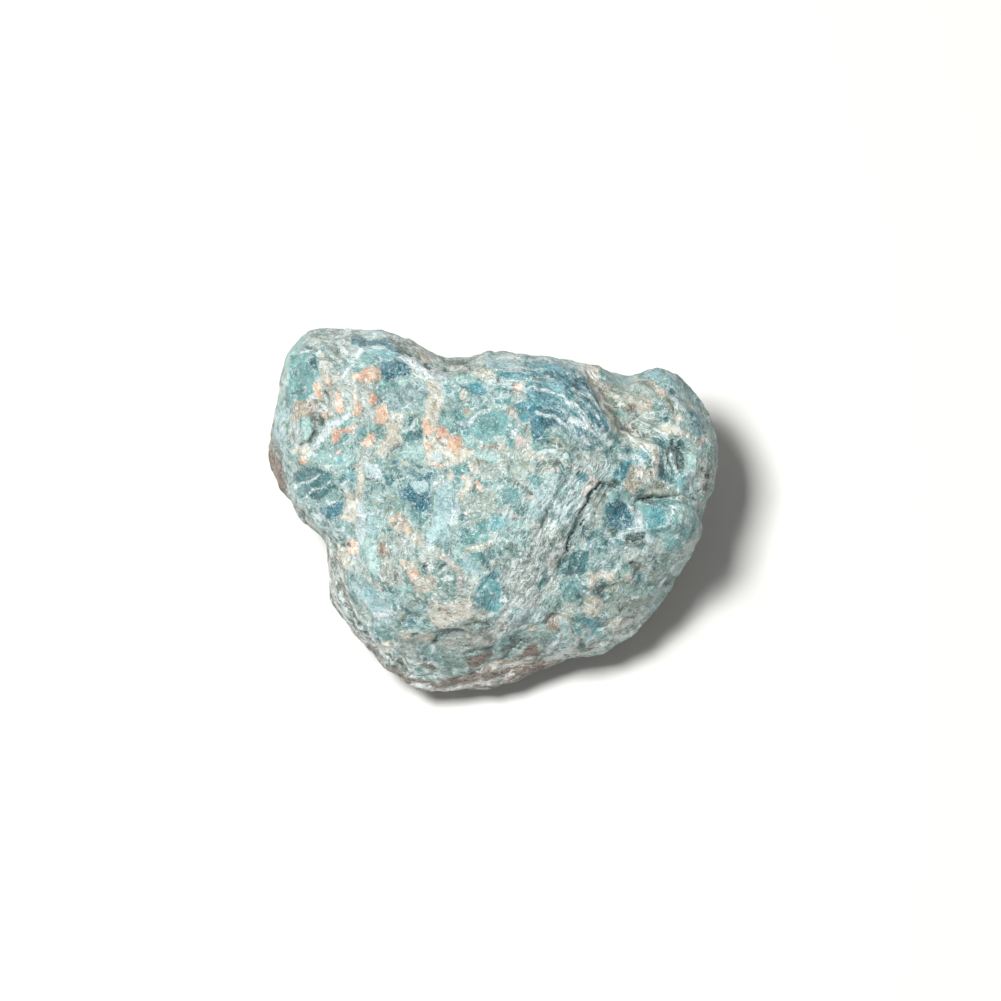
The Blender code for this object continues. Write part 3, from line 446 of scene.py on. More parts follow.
streak("white", 0.16, 6, 11.8, 5.9, 10.6)
streak("cream", 0.25, 3.3, 14.6, 4.2, 13.9, 4.8, 13.5, 5.5, 13.3, 5.6, 12, 5.4, 10.6, 5.6, 9.6,
       6.2, 9, 7.4, 8.9)
streak("dark", 0.22, 5.1, 13.4, 4.7, 12.6)
area("white", 7.6, 9.6, 8.6, 9.8, 9.8, 9.5, 9.6, 8.9, 7.8, 9)
streak("white", 0.28, 8.1, 14.3, 9.1, 13.5)
area("white", 9, 13.2, 9.9, 12.8, 9.6, 12, 9.2, 11.9)
area("olive", 8.8, 11.4, 9.8, 12, 10.6, 11.3, 10.2, 10.4, 9.1, 10.2)
spot("dark", 10.4, 10.2, 0.38)
spot("dark", 8.5, 10.5, 0.32)
area("blue_grey", 10, 14, 12.6, 13.8, 12.8, 12, 12, 10.6, 10.8, 11.4, 10.2, 12.8)
area("white", 10.8, 14.8, 12, 15, 13.2, 14.5, 14.4, 13.6, 14.5, 13, 13.6, 13.2, 12.2, 13.9,
     10.9, 14.1)
area("deep_blue", 15, 15.1, 16.4, 15.4, 17.5, 14.6, 17.7, 13.8, 16.6, 13.7, 15.6, 14.4)
area("teal", 12.6, 11.6, 13.6, 11.3, 13.4, 10.2, 12.4, 10.4)
area("white", 13.4, 12.3, 13.9, 11.9, 14.8, 11, 14.9, 10.3, 14.1, 10.6, 13.6, 11.5)
streak("dark_teal", 0.22, 14.8, 14, 15, 12, 15.4, 11, 16.6, 10.8, 17.3, 10.2)
streak("white", 0.22, 15.8, 9.8, 17, 9.5, 18.2, 9)
streak("white", 0.12, 15.3, 14.2, 15.7, 12.8, 16.6, 11.6, 17.8, 10.8)
streak("white", 0.12, 15.9, 14.3, 16.3, 13, 17.1, 12, 18.2, 11.2)
area("grey_green", 12.4, 9, 14.6, 9.2, 17, 8.4, 17.5, 7, 15, 7.2, 13, 7.6)
area("dark", 9.4, 7.8, 9.8, 8, 10.8, 7.5, 10.6, 6.9, 9.7, 7, 9, 7)
streak("cream", 0.22, 7.6, 7, 9.6, 6.4, 10, 6.3)
area("grey_green", 5.4, 6.6, 7.4, 7, 9.6, 6, 8.8, 5.2, 7.4, 5.6, 6.4, 5.8)
area("teal", 5.4, 5.2, 6.2, 5.9, 7.6, 5, 8.1, 4.8, 7.4, 3.9, 6.4, 3.8, 5.7, 4.5)
area("blue_grey", 7.9, 4.6, 9.4, 5.4, 10.2, 5, 10.1, 3.4, 9.6, 1.6, 8.2, 1.4, 7.2, 2.4, 7.6, 3.6)
streak("white", 0.14, 8.6, 5, 8, 4, 7.4, 3.4, 6.6, 3.4)
area("sky", 10.3, 5.6, 12, 5.8, 12.9, 4.8, 13.4, 3.6, 12, 2.4, 10.4, 2, 10.2, 3.8)
area("clear", 12.9, 5.3, 13.6, 5.9, 14.6, 5.7, 14.9, 5, 14.3, 4.5, 13.3, 4.3)
area("blush", 15, 5.5, 15.6, 5, 15.2, 3.6, 14, 2.2, 13.2, 2.2, 13.8, 3.6, 14.8, 4.4)
area("tan", 15.2, 5.2, 16.4, 5.2, 16.8, 4.4, 16, 3.8, 15.2, 4)
streak("cream", 0.22, 10.5, 8.2, 11, 7.4, 12.8, 6.8, 14.4, 6.2, 15.2, 5.4, 15.8, 5)
spot("dark_teal", 17.4, 3.9, 0.3)
spot("dark_teal", 18.2, 3.6, 0.4)
area("mint", 0.4, 2.8, 1.2, 3.9, 2.4, 4, 4, 3.2, 5, 2.2, 4, 1, 0.6, 1)
streak("white", 0.16, 0.2, 3, 0.6, 3.8, 1.6, 4.1)
area("dark", 3.2, 4.9, 4, 4.8, 4.6, 4.2, 5.6, 3.8, 6.4, 2.7, 6, 2.5, 5.2, 3.1, 4.4, 3.7, 3.7, 4.1)
spot("blush", 4.5, 4.3, 0.32)
area("cream", 5.2, 2.4, 6.6, 2.3, 7, 1.8, 6, 1.4, 5.4, 1.8)
area("grey_green", 15, 2.4, 16.3, 3.4, 17.6, 3.6, 18.4, 2.2, 17.6, -0.5, 15.2, -0.5)
area("olive", 2.6, 5, 3.4, 5.4, 3.9, 4.6, 3, 4.2)

# Right lobe: the dark shell-shaped break, the pale curved band and the blue crystal.
area("crust", 20.6, 16.5, 22.5, 16.4, 22.6, 15.2, 21.8, 15.2, 20.8, 15.9)
area("tan", 22.5, 16.5, 24.5, 16.5, 24.4, 15.6, 22.8, 15.2)
area("grey_green", 20, 15.4, 22, 15.4, 22.1, 14.2, 21, 13.9, 20.1, 14.3)
streak("dark", 0.2, 22.7, 15, 22.2, 14.4, 21.8, 14)
area("pale", 22.8, 15, 24, 15.9, 25.3, 15.3, 26.2, 14, 26.7, 13, 26, 12.6, 24.4, 12.6, 22.6,
     13.2, 22.4, 14)
area("rust", 20.6, 13.6, 21.6, 13.8, 22.4, 13.3, 23.2, 12.5, 23, 11.9, 21.6, 12.8, 20.8, 13)
area("cream", 26.2, 13, 27.4, 14, 29, 13, 31, 12.2, 31.8, 11.6, 30, 11.9, 28, 11.9, 26.6, 12)
area("dark_teal", 26.5, 14.8, 27.6, 14.9, 27.7, 14.2, 27.5, 13.8, 26.9, 13.9)
area("white", 26.6, 16, 27.5, 16.2, 27.5, 15.2, 26.6, 15.3)
area("cream", 28.4, 15.4, 29.7, 15.6, 29.8, 14.6, 29.5, 13.8, 29, 14)
area("rust", 27.8, 15.9, 28.4, 14.8, 28.8, 13.8, 28.2, 14, 27.8, 14.6)
area("clear", 30.9, 15.6, 31.8, 16.3, 33, 15.6, 33.6, 14.6, 33, 13.8, 31.6, 13, 30.8, 13.4,
     31, 14.4)
spot("deep_blue", 31.6, 15.3, 0.55)
spot("deep_blue", 31.4, 13.7, 0.4)
spot("white", 31.6, 14.6, 0.22)
spot("white", 32.9, 14.2, 0.25)
area("mint", 30.1, 15, 30.8, 15.2, 30.9, 13.2, 30.2, 12.8)
area("turquoise", 30.8, 13, 32.8, 13, 33, 12, 31.6, 11.8)
area("pale", 30, 12.2, 32, 11.6, 32.8, 10.4, 32.2, 9.8, 31.2, 10.8, 29.8, 11.4)
area("mint", 30, 11.4, 31, 10.9, 31.8, 10, 31, 9.6, 30.3, 10.2)
streak("blush", 0.4, 32.4, 10.3, 33, 11, 33.5, 11.8)
area("dark_teal", 25, 10.6, 25.6, 11.3, 26.4, 11.7, 27.4, 11.3, 29, 11.4, 29.8, 10.8, 30.3, 9.8,
     30.2, 8, 30.3, 6.6, 29.6, 6, 29.2, 5.1, 28.1, 4.6, 27, 4.8, 25.8, 5.4, 25.5, 7, 26, 8,
     25.9, 9.6, 25.4, 10.2)
area("teal", 26, 10, 27.4, 9.7, 27.6, 8.4, 26.8, 7.6, 26, 8.1)
area("grey_green", 26.9, 9.2, 27.8, 9, 27.9, 7.5, 27, 7.4)
area("dark_green", 27.6, 10, 29.2, 10, 30.1, 9, 30.1, 7, 29.6, 6.4, 28.9, 7.2, 28.9, 8.6, 28.2, 8.9,
     27.9, 7.9, 28.1, 6, 27.7, 6.4, 27.6, 8.6)
spot("white", 28.3, 8.9, 0.32)
spot("white", 28.5, 8.1, 0.28)
spot("white", 28.7, 7.2, 0.32)
spot("white", 29, 6.4, 0.25)
streak("white", 0.16, 28.6, 10.9, 28.8, 10.3)
area("teal", 18.4, 14.2, 20.4, 12.4, 19, 10, 18.2, 8.2, 16.8, 9, 17.4, 11.4)
streak("pale", 0.8, 17.6, 15, 18.6, 14, 19.6, 12.6, 21, 11.4, 23, 10.9, 24.4, 10.4, 25.4, 9.6,
       25.6, 8, 25.4, 6.4, 24.8, 5.5)
streak("white", 0.2, 18, 14.9, 19.9, 12.7, 21.2, 11.7, 23.2, 11.2, 24.8, 10.6)
streak("white", 0.16, 25.9, 9.6, 26, 8, 25.7, 6.4)
streak("tan", 0.14, 18.4, 13.8, 19.8, 12.2, 21.2, 11, 23.4, 10.4)
area("olive", 23.2, 12, 24.4, 11.8, 25, 11, 24.6, 10.8, 23.8, 11.2, 23.3, 11.6)
# Painted shade: the dark line under the tan overhang of the right lobe.
streak("dark", 0.26, 20.5, 13.2, 21.6, 12.6, 22.2, 12.1, 22.7, 11.9)
streak("dark", 0.15, 23.2, 12.2, 24.4, 12.3, 25, 12.2)
area("dark", 25.1, 12.5, 26, 12.3, 25.9, 12, 25.2, 12)
spot("white", 18.2, 10.8, 0.55)
spot("blue_grey", 18, 8.2, 0.6)
area("clear", 18.7, 6.4, 20, 8, 21.9, 8.2, 22, 7.4, 21.2, 6.9, 20.8, 5.4, 20.2, 4.6, 19.4,
     5, 18.8, 5)
area("clear", 20, 9.8, 21.4, 9.9, 22.4, 9.5, 24, 9.2, 24.4, 8.6, 24.1, 7.8, 23.8, 7.7, 23.2, 8.4,
     22.6, 9, 21.4, 9.3, 20.2, 9.2)
area("sky", 19.6, 9, 21.8, 8.9, 22, 8.4, 20, 8.4, 19.6, 8.6)
area("mint", 17.5, 5.6, 19, 7.4, 19.8, 8, 18.8, 6.2, 18.7, 5, 17.5, 5.1)
area("sky", 22.6, 9, 23.3, 7.8, 23.6, 7.2, 22.4, 7, 21.9, 7.6, 22.2, 8.4)
area("dark_green", 18, 4.4, 19, 4.9, 20, 4.9, 20.1, 4, 19.2, 3.6, 17.9, 3.3, 17.8, 3.7)
area("tan", 21.2, 6.8, 22.2, 7.4, 23.4, 7, 24.4, 7, 25, 6.5, 24.8, 5.4, 24, 4.6, 22.6, 3.2,
     22, 2.4, 21.2, 3, 20.6, 4, 20.9, 5.2)
area("cream", 21.4, 6.4, 22.4, 6.8, 23.6, 6.4, 23, 4.6, 21.6, 4.2)
spot("dark", 22.9, 5.2, 0.18)
spot("dark", 21.4, 3.1, 0.2)
spot("dark", 22.6, 3.1, 0.2)
area("grey_green", 24, 5.2, 25.6, 5.2, 27.4, 4, 28.9, 2.8, 28, 2.3, 25.2, 2.6, 24.4, 3,
     23.4, 3.2, 23.6, 4.4)
area("dark_green", 26, 5, 26.8, 4.8, 27.2, 3.8, 26.4, 3.8)
area("mint", 27.6, 4.2, 28.9, 2.7, 28.8, 3.9, 28, 4.4)
area("turquoise", 28.9, 5.6, 29.8, 5.8, 29.9, 4.4, 29.6, 3.2, 28.9, 2.8, 28.9, 4.4)
streak("blue_grey", 0.3, 30.7, 6.6, 30.6, 4.6)
area("mint", 30.4, 9, 31.6, 9, 31.4, 7.2, 30.6, 7)
streak("white", 0.25, 31.3, 6.5, 31.1, 4, 31, 3)
area("grey", 32.4, 8.6, 34, 8, 34.6, 5.6, 34.4, 3.6, 33.4, 2.6, 32.2, 3, 32.2, 6)
spot("dark", 33.2, 6.6, 0.45)
spot("dark", 34, 5.4, 0.45)
spot("dark", 33.5, 3.6, 0.55)
spot("white", 33.6, 7.8, 0.22)
spot("lavender", 30.1, 2.8, 0.5)
spot("dark_green", 31.5, 1.8, 0.4)
area("teal", 18.6, 3, 20, 3.4, 20.4, 2.8, 19.4, 2.2, 19.4, 1, 18.4, 1, 18.2, 2.2)
area("mint", 20.2, 3, 21, 3, 22, 2, 22.3, 1.2, 20.6, 1, 19.8, 1.6)

# Below the right lobe: the glassy lump, dark grains and their pale net of veins. The white marks on the
# lump's top are painted highlights.
area("lavender", 20.6, 0.6, 23.2, 0.4, 24, -2, 25.4, -4.4, 24.6, -5.6, 22, -6.4, 19.6, -5,
     19.4, -3, 20.6, -1)
area("teal", 22.5, 1.3, 25, 1.6, 29, 1.4, 31, 0.5, 32, -1, 33, -3, 31.5, -4, 29, -6.5, 28, -6,
     26, -4.2, 24.5, -3.5, 23.3, -2, 23.5, -0.5)
area("clear", 23.8, 0.9, 26.6, 0.8, 27.4, 0.4, 26.8, -1, 24, -0.6)
area("turquoise", 28.6, 1, 31.4, 0, 32, -1.4, 32.4, -3, 31, -3.8, 30.4, -3.6, 30.2, -2, 29,
     -1.2, 28.8, 0)
area("dark_teal", 23.6, -1.4, 24.4, -2, 25.4, -2.8, 25.2, -4, 24.2, -3.2)
area("green", 25.6, -2.4, 27.4, -1.4, 29.6, -1.8, 30, -3.4, 28, -3.2, 26.6, -4, 25.6, -3.6)
# The next eleven white marks on the glassy lump, areas, streaks and spots, are painted highlights, not
# mineral.
area("white", 24.2, -2, 24.5, -1.2, 24.9, -0.8, 25.2, -1.1, 24.7, -1.7)
streak("white", 0.18, 25.2, -1, 25.9, -1.2)
area("white", 26.8, -0.5, 27.3, 0.1, 28.2, 0.6, 28, 0.1, 27.6, -0.6, 27, -0.7)
streak("white", 0.13, 26.2, -2, 27.2, -1.3, 28, -1.2)
streak("white", 0.12, 28.7, -1, 28.9, -1.7, 29.4, -1.5, 29.5, -0.8)
spot("white", 28.5, -1.8, 0.18)
spot("white", 28.9, -0.5, 0.2)
spot("white", 31.8, -2.8, 0.2)
spot("white", 31.4, -2.1, 0.16)
spot("white", 24.4, -2.8, 0.2)
streak("white", 0.13, 24.2, 0.9, 25.8, 0.5)
area("green", 26, -4.2, 28.4, -3.2, 29.6, -3.6, 29, -5.4, 28.6, -6.6, 27.8, -6.2, 26.8, -5)
area("dark_green", 28, -4.8, 29.2, -5, 29, -6.2, 28.4, -6.7, 27.8, -5.8)
area("grey", 29, -5, 30.6, -4.4, 31.6, -4, 32.6, -4.4, 32, -6.4, 30.6, -7, 29, -7, 29.2, -6)
area("mint", 30.6, -7, 31.4, -6.8, 31, -8, 30.2, -8.4, 30.2, -7.6)
area("grit", 25, -4.6, 26.4, -4.4, 27, -5.4, 26.4, -7, 25.2, -7.2, 24, -7.4, 23, -7, 23.2,
     -6.2, 24.6, -5.8)
area("green", 26.2, -6.4, 27.4, -6.6, 29, -7.4, 28.8, -8.2, 27.4, -8.8, 26.2, -8)
area("mint", 28, -9.5, 29, -8.5, 30, -8, 30.4, -8.8, 30.2, -9.8, 29.6, -10.4, 28.8, -10, 28.2, -9.8)
streak("white", 0.14, 27.9, -9.6, 29, -8.4, 29.8, -8)
streak("white", 0.16, 28, -9.7, 29, -10.3)
area("deep_blue", 17.7, 0.8, 18.6, 0.8, 19.4, 0.4, 20.2, -0.2, 20.8, -1, 21.4, -1.4, 21.9, -0.2,
     22.3, -0.8, 22, -2, 21.4, -2.6, 20.4, -3.4, 20, -2.8, 19.4, -2.4, 18.4, -2.6, 17.8, -2,
     18.2, -1, 17.6, 0)
streak("white", 0.18, 19.1, -0.6, 19.3, -1.1, 18.9, -1.8)
streak("white", 0.2, 20.9, -1.2, 20.4, -2.4)
area("dark_green", 18.2, 1.6, 19.6, 1.8, 19.8, 1, 19.2, 0.6, 18.4, 0.8)
streak("blush", 0.25, 21.4, 0.6, 22, 0, 22, -0.6)
area("dark_green", 17.6, -2.8, 19.4, -2.8, 19.7, -3.4, 19.2, -4.2, 18.8, -4.8, 18.2, -4.8,
     18.4, -3.8, 17.6, -3.4)
area("dark_green", 21.3, -3.5, 22, -3.8, 22.8, -3.7, 23.6, -3.8, 23.8, -4.6, 23.6, -5.4, 23.2, -5.9,
     22.6, -5.6, 22.4, -5, 21.6, -4.9, 21.2, -4.4)
spot("dark_green", 22, -3.3, 0.22)
spot("dark_green", 21.2, -5.1, 0.3)
spot("dark_green", 22, -5.5, 0.25)
spot("dark_green", 24.5, -6.4, 0.22)
spot("dark_green", 24.6, -5.3, 0.24)
spot("white", 21.6, -5, 0.18)
streak("white", 0.13, 22.6, -4.8, 23.6, -4.3)

# Lower left: grains beside the layered wall.
area("crust", -26.8, -5, -25.4, -5.6, -24.6, -8, -23.6, -11, -22.8, -14, -21.8, -17, -20, -18.6,
     -19, -20.5, -17.8, -22.4, -18, -23.6, -20, -22.3, -22.6, -20.2, -24.4, -18, -25.6, -15,
     -26, -12, -26.4, -9, -26.8, -7)
area("olive", -33.5, 1.5, -32.5, 1.5, -30, -0.3, -28.6, -1.2, -28.2, -2.2, -27, -3.4, -26.2, -3.6,
     -25.5, -4.8, -25.2, -6, -25.6, -6.4, -27, -5, -27.5, -4.4, -29, -3, -30, -1.8, -31.5, 0)
streak("dark", 0.2, -31.8, 0.8, -30.2, -0.8, -29, -2.2)
streak("dark", 0.2, -27.4, -3.6, -26.2, -4.6, -25.6, -6)
streak("crust", 0.35, -30, -1.9, -28.6, -3.4, -27.2, -4.7, -26.7, -6)
streak("dark", 0.42, -25.7, -8, -25.4, -10, -25, -12.5)
area("dark", -24.8, -12.8, -24, -13, -23.4, -13.8, -23.4, -15, -24, -15, -24.6, -14)
streak("dark", 0.25, -24.1, -10, -23.6, -12, -23, -14, -22, -16.6, -20.6, -18)
streak("cream", 0.22, -25, -9, -24.4, -11, -23.8, -12.6, -23.2, -14.4, -22.4, -16.2)
streak("dark", 0.3, -23.4, -17.8, -22.6, -19.4)
spot("blush", -21, -19.2, 0.7)
streak("blush", 0.25, -20.6, -20.8, -19, -21.8)
area("blue_grey", -28.4, 1, -27, 0, -25, -0.8, -24, -1.6, -23.6, -2.2, -24.6, -2.8, -25.6, -3.6,
     -27, -3.3, -28, -2.4, -28.3, -1)
area("clear", -27.5, 0, -25.8, 0.6, -25, 1.5, -24, 1.5, -23.8, 0.3, -24.7, -0.8, -26, -0.6)
area("dark_teal", -27.3, 0, -26, 0.4, -25.2, 0, -24.8, -0.7, -26, -0.7)
streak("white", 0.2, -27.6, 0.3, -26, 0.8, -25.3, 1.6)
area("cream", -23.8, 4, -22, 3, -21, 1, -21.2, -1, -22.5, -1.8, -24, -1.4, -24.2, -0.6, -23.4, 0.6)
spot("olive", -22.3, 0, 0.35)
spot("dark", -22.1, -2.2, 0.25)
area("teal", -25, -2.2, -24, -1.9, -22.8, -2.3, -22.5, -3.6, -23, -4.6, -24.4, -4.7, -25.2, -3.8)
streak("white", 0.13, -24.6, -2.8, -23.2, -4)
streak("white", 0.13, -24.2, -4.4, -23.6, -2.6)
streak("white", 0.13, -25.2, -3.6, -22.6, -4.2)
area("lavender", -21.3, 2, -20.4, 1, -20.2, -1, -20.2, -5, -21, -5, -21.6, -3, -21.2, -0.5)
area("sky", -20, -0.5, -18.4, -0.6, -18.2, -3, -18.4, -4, -20, -3.9)
area("peach", -23.2, -4.4, -21.4, -4.6, -21, -5.6, -21.3, -7, -22.4, -7, -23.4, -6)
streak("dark", 0.2, -22.9, -5.2, -22.5, -5.5)
streak("dark", 0.16, -24.1, -5.3, -23.4, -5.6)
area("mint", -20.8, -5, -19.4, -4.4, -18.6, -4.2, -18.4, -5.4, -18.5, -7, -20.2, -7.4, -21, -6.6)
area("mint", -19.8, -7.6, -18.2, -7.6, -18, -10, -19.2, -10, -19.9, -9)
area("grit", -23, -7, -21, -7.2, -20, -8, -20.4, -9.6, -22, -10, -23.4, -9)
spot("dark", -21.1, -8.3, 0.25)
area("cream", -24.6, -5, -23.6, -5.8, -22.6, -7.4, -22.8, -9, -23.8, -9.8, -24.6, -8, -25.2, -6)
streak("dark", 0.18, -24, -8.2, -23.6, -9.2)
streak("olive", 0.2, -24.6, -6, -24.1, -6.8)
area("blue_grey", -23, -9.6, -21.5, -9.8, -20, -10, -18.5, -11, -19, -13.6, -21, -14, -22.4,
     -13, -22.8, -11)
spot("dark_teal", -22.4, -10.2, 0.4)
spot("dark_teal", -22.2, -12.8, 0.4)
area("turquoise", -20.6, -12, -19, -12.4, -18, -13.4, -19.5, -14.2, -20.6, -13.4)
streak("blush", 0.3, -20.2, -10.3, -18.8, -11.2, -17.8, -12)
area("sky", -20, -13.6, -18.8, -13.6, -17.5, -12.6, -15.4, -13.2, -14.8, -14.6, -15.6, -16.6,
     -16.8, -17.6, -18.6, -17.8, -19.6, -16.6, -20, -15)
area("white", -19.2, -16.4, -17.8, -15.6, -15.4, -15, -14.6, -14.8, -15.2, -16, -16.6,
     -16.8, -18.2, -17.4)
streak("dark_teal", 0.3, -15.8, -14.2, -15.4, -15.4)
streak("dark_teal", 0.25, -17, -13.8, -16.6, -14.4)
area("pale", -21.6, -15, -20.8, -15, -19.4, -17, -19.6, -18, -20.4, -18, -21.4, -16.4)
streak("olive", 0.16, -21.3, -15.4, -20.2, -17.4)
area("teal", -19, -17.6, -17.4, -18, -15.6, -18.4, -14.9, -18.8, -15.2, -19.8, -16.4, -20,
     -18, -20, -19, -19)
streak("white", 0.14, -16.2, -19.6, -15.2, -18.6)
streak("white", 0.14, -18.4, -18, -17.4, -19)
area("cream", -18.2, -21, -17.6, -20.6, -16, -20.4, -15.4, -21, -16.6, -22, -17, -22.8, -17.8, -22)

# Lower middle: tan and cream calcite with speckled grain.
area("tan", -16.4, -0.6, -14.6, -0.2, -13.4, -0.8, -12.8, -2, -12.6, -3.2, -14, -3.4, -15.6,
     -2.8, -16.4, -2)
spot("peach", -14.6, -1, 0.5)
spot("peach", -13.5, -3, 0.5)
spot("peach", -16, -1.2, 0.4)
streak("dark", 0.16, -14.5, -0.4, -13.8, -1.2)
spot("dark", -15.6, -1.8, 0.25)
area("mint", -18.6, -1.5, -17, -1.6, -16.8, -2.6, -18, -2.8, -18.6, -2.4)
area("pale", -18.2, -3.4, -17.4, -3, -16.4, -3.4, -15.8, -4.4, -16, -5.6, -17, -5, -18, -5.2)
area("rust", -18.2, -5, -17.2, -5, -16.2, -6, -16.4, -7.2, -18, -7.3)
area("grit", -16.6, -3.4, -13.6, -3.6, -12.8, -5, -12.6, -7, -14.4, -7, -16, -5.8)
streak("dark", 0.15, -14.8, -3.8, -14.2, -4.2)
area("cream", -12.6, -3, -11.6, -3.4, -11, -4.6, -11.2, -5.6, -12.4, -5.4, -12.8, -4.2)
streak("dark", 0.14, -12.7, -1.8, -11.7, -2.9)
spot("dark_teal", -11.6, -1.9, 0.4)
area("sky", -10.4, -2.6, -8, -2.2, -7, -2.4, -7.6, -4.6, -8.6, -5, -10.6, -4.8)
area("pale", -11.2, -5.8, -9.4, -5, -8.2, -5.4, -7.8, -6.6, -8.2, -7.6, -10, -8.6, -11.4,
     -8, -12, -7)
area("speckle", -17.6, -7.4, -15.4, -7.6, -14.6, -8.6, -14.4, -10.4, -14, -11.4, -15.6, -11.8,
     -17.4, -11.6, -18, -9.6)
area("peach", -14.8, -7.4, -13.4, -7.6, -12, -8, -11.8, -9.6, -12, -11, -12.8, -11.4, -13.4,
     -10.2, -14.2, -9)
area("cream", -14, -7.6, -12.4, -7.8, -12, -9, -13.6, -9)
streak("dark", 0.2, -11, -8.6, -10.6, -9.6)
spot("grey", -11.4, -10.2, 0.45)
area("white", -10.6, -8.8, -9.6, -8.2, -9.4, -9.4, -10.2, -9.8)
area("cream", -12.6, -11, -10, -10, -9.2, -10.2, -9.2, -12.4, -10.8, -13, -12.4, -12.6)
spot("tan", -10.2, -10.3, 0.35)
area("mint", -14.4, -11.8, -13.2, -11.8, -13, -13, -14.2, -13.2)
area("olive", -12.8, -12.9, -11.4, -12.8, -10.8, -13.8, -12.8, -13.9)
spot("white", -12.2, -13.3, 0.25)
area("green", -9, -10, -7.4, -9, -6.2, -8.8, -5.6, -9.8, -5.8, -11, -6, -13.6, -7.4, -13.9,
     -8.2, -12, -8.8, -11.2)
area("dark_green", -9.1, -9.2, -8.6, -8.4, -7.8, -8.1, -7.2, -8.2, -7.8, -9, -8.8, -9.6)
streak("white", 0.15, -8.8, -9.8, -7.2, -8.6)
streak("white", 0.2, -7.6, -10.9, -6.4, -10.4)
streak("dark_green", 0.14, -8.2, -10.7, -6.4, -10.2)
area("pale", -9.8, -12.4, -8, -12, -7.8, -13.4, -8.6, -14, -10, -14)
area("mint", -7.4, -5.8, -6.6, -5.6, -5.6, -6, -5.2, -7, -5.8, -7.8, -6.6, -7.4)
streak("dark_green", 0.28, -6.9, -6, -6.4, -7.2)
area("blue_grey", -7.2, -3, -5.4, -3, -5, -4, -5.2, -4.6, -6.6, -4.4)
area("teal", -5.2, -2.6, -3, -2.4, -1.4, -2.9, -0.4, -4, -1.2, -4.8, -4, -4.9, -5.6, -5, -5.4, -4.2)
streak("dark_teal", 0.3, -5.6, -4.7, -4, -5, -2.8, -4.8)
area("teal", -2.8, -1.8, -0.5, -1, 0.5, -1, 0.5, -3, -1.8, -2.8, -3, -2.6)
streak("white", 0.2, -5, -2.3, -4.2, -1.8, -3.6, -1.6)
streak("white", 0.13, -3.6, -3.5, -3.2, -2.8)
spot("white", -1.8, -3.9, 0.28)
streak("cream", 0.13, -4.6, -2, -3, -1.6, -2, -1.5, -0.8, -0.9)
area("blush", -4.9, 0.2, -4.2, 0.2, -3.8, -0.4, -4.4, -0.9)
area("cream", -4.2, -5.6, -2, -5.2, -0.8, -4.8, -0.4, -5.2, -1.2, -6.2, -2.8, -6.2, -4, -6.4)
streak("olive", 0.2, -2.6, -5.2, -1.2, -5)
area("teal", -4.2, -6.6, -2.6, -6.4, -0.6, -6.2, 0.2, -5.6, 0.6, -7, 0.2, -8.6, -1.4, -8.2,
     -3, -7.4)
area("sky", -5, -7.2, -3.6, -7.6, -2, -8.4, -1.6, -9.8, -2.6, -10, -4.2, -9.6, -5, -8.4)
area("white", -5, -7, -4.4, -7, -4, -7.8, -4.6, -8)
area("pale", -0.8, -8, 0.4, -7.4, 1, -8, 0.4, -9, -0.4, -9.6)
area("pale", -5.2, -9.8, -3, -10, -2.2, -11, -2.6, -12.6, -3.2, -14, -4.6, -13.8, -5.6, -14,
     -6, -12)
streak("blush", 0.35, -8.4, -7, -7.4, -7.4, -6.2, -8.6, -5.2, -9.6, -5.4, -11.4, -5.6, -13)
streak("olive", 0.18, -4.8, -10.6, -4, -12)
area("cream", -10.2, -13.8, -8.4, -14.6, -7, -14.4, -5, -13.4, -3.4, -14, -2.4, -15, -1, -16,
     -0.6, -16.8, -2, -17.2, -4, -17, -5.6, -17.4, -7, -17.6, -7.8, -18.4, -9, -18.6,
     -9.8, -17.6, -10.4, -16.4)
area("tan", -8.6, -14.6, -7.4, -14.8, -6.8, -16, -7.2, -17.2, -8.2, -16.4, -8.6, -15.6)
streak("tan", 0.25, -9.8, -15.2, -9.3, -16.8)
area("pale", -3.4, -14.6, -2.2, -15.2, -1, -16.6, -1.6, -17.2, -3, -16.6, -3.6, -15.6)
area("olive", -6.4, -16.8, -5, -17, -3, -16.8, -1.4, -17.4, -2.6, -17.8, -5.6, -17.8)
area("drop", -1, -10, 0, -9.4, 0.5, -9, 1, -10, 1.2, -12, 1.2, -14, 0.8, -16, -0.2, -16.2,
     -1.4, -15.4, -2.4, -14.6, -3, -14, -3, -13, -2.4, -12.2, -2.2, -11.2)
area("deep_blue", -1, -10.2, 0, -9.6, 0.6, -10, 0.5, -11, -0.5, -10.9)
spot("white", -0.4, -13, 0.22)
spot("white", -2.3, -13.2, 0.25)
streak("white", 0.13, -1.4, -12.2, -0.8, -11.6)
streak("white", 0.14, -1.7, -8.6, -1.3, -9.4, -0.9, -10)
area("olive", -15, -15.8, -14.2, -15.4, -13.9, -16.6, -14, -17.8, -14.6, -17)
streak("dark", 0.14, -14.4, -17, -13.6, -18.4)
area("teal", -12.8, -15.6, -11.4, -15.5, -11.1, -16.2, -12.4, -16.8)
area("deep_blue", -13.6, -16.6, -12.8, -16.4, -12.6, -17.6, -12.6, -18.7, -13.6, -18.6,
     -13.7, -17.6)
area("teal", -12.6, -18.2, -11.8, -17.4, -11, -17.4, -11.2, -18, -12, -18.6)
area("white", -12.5, -17, -11.4, -16.8, -10.6, -16.4, -10.4, -17, -11.6, -17.3)
area("cream", -14.6, -19, -13.4, -18.9, -12.6, -19.4, -12.8, -20.4, -14, -20.4, -15.4, -19.8)
area("cream", -12, -19.4, -10, -19, -9.4, -19.6, -9.6, -20.6, -11, -20.8, -12, -20.4)
streak("dark", 0.2, -12.8, -19.6, -12, -19.4)
spot("dark", -9, -18.4, 0.2)

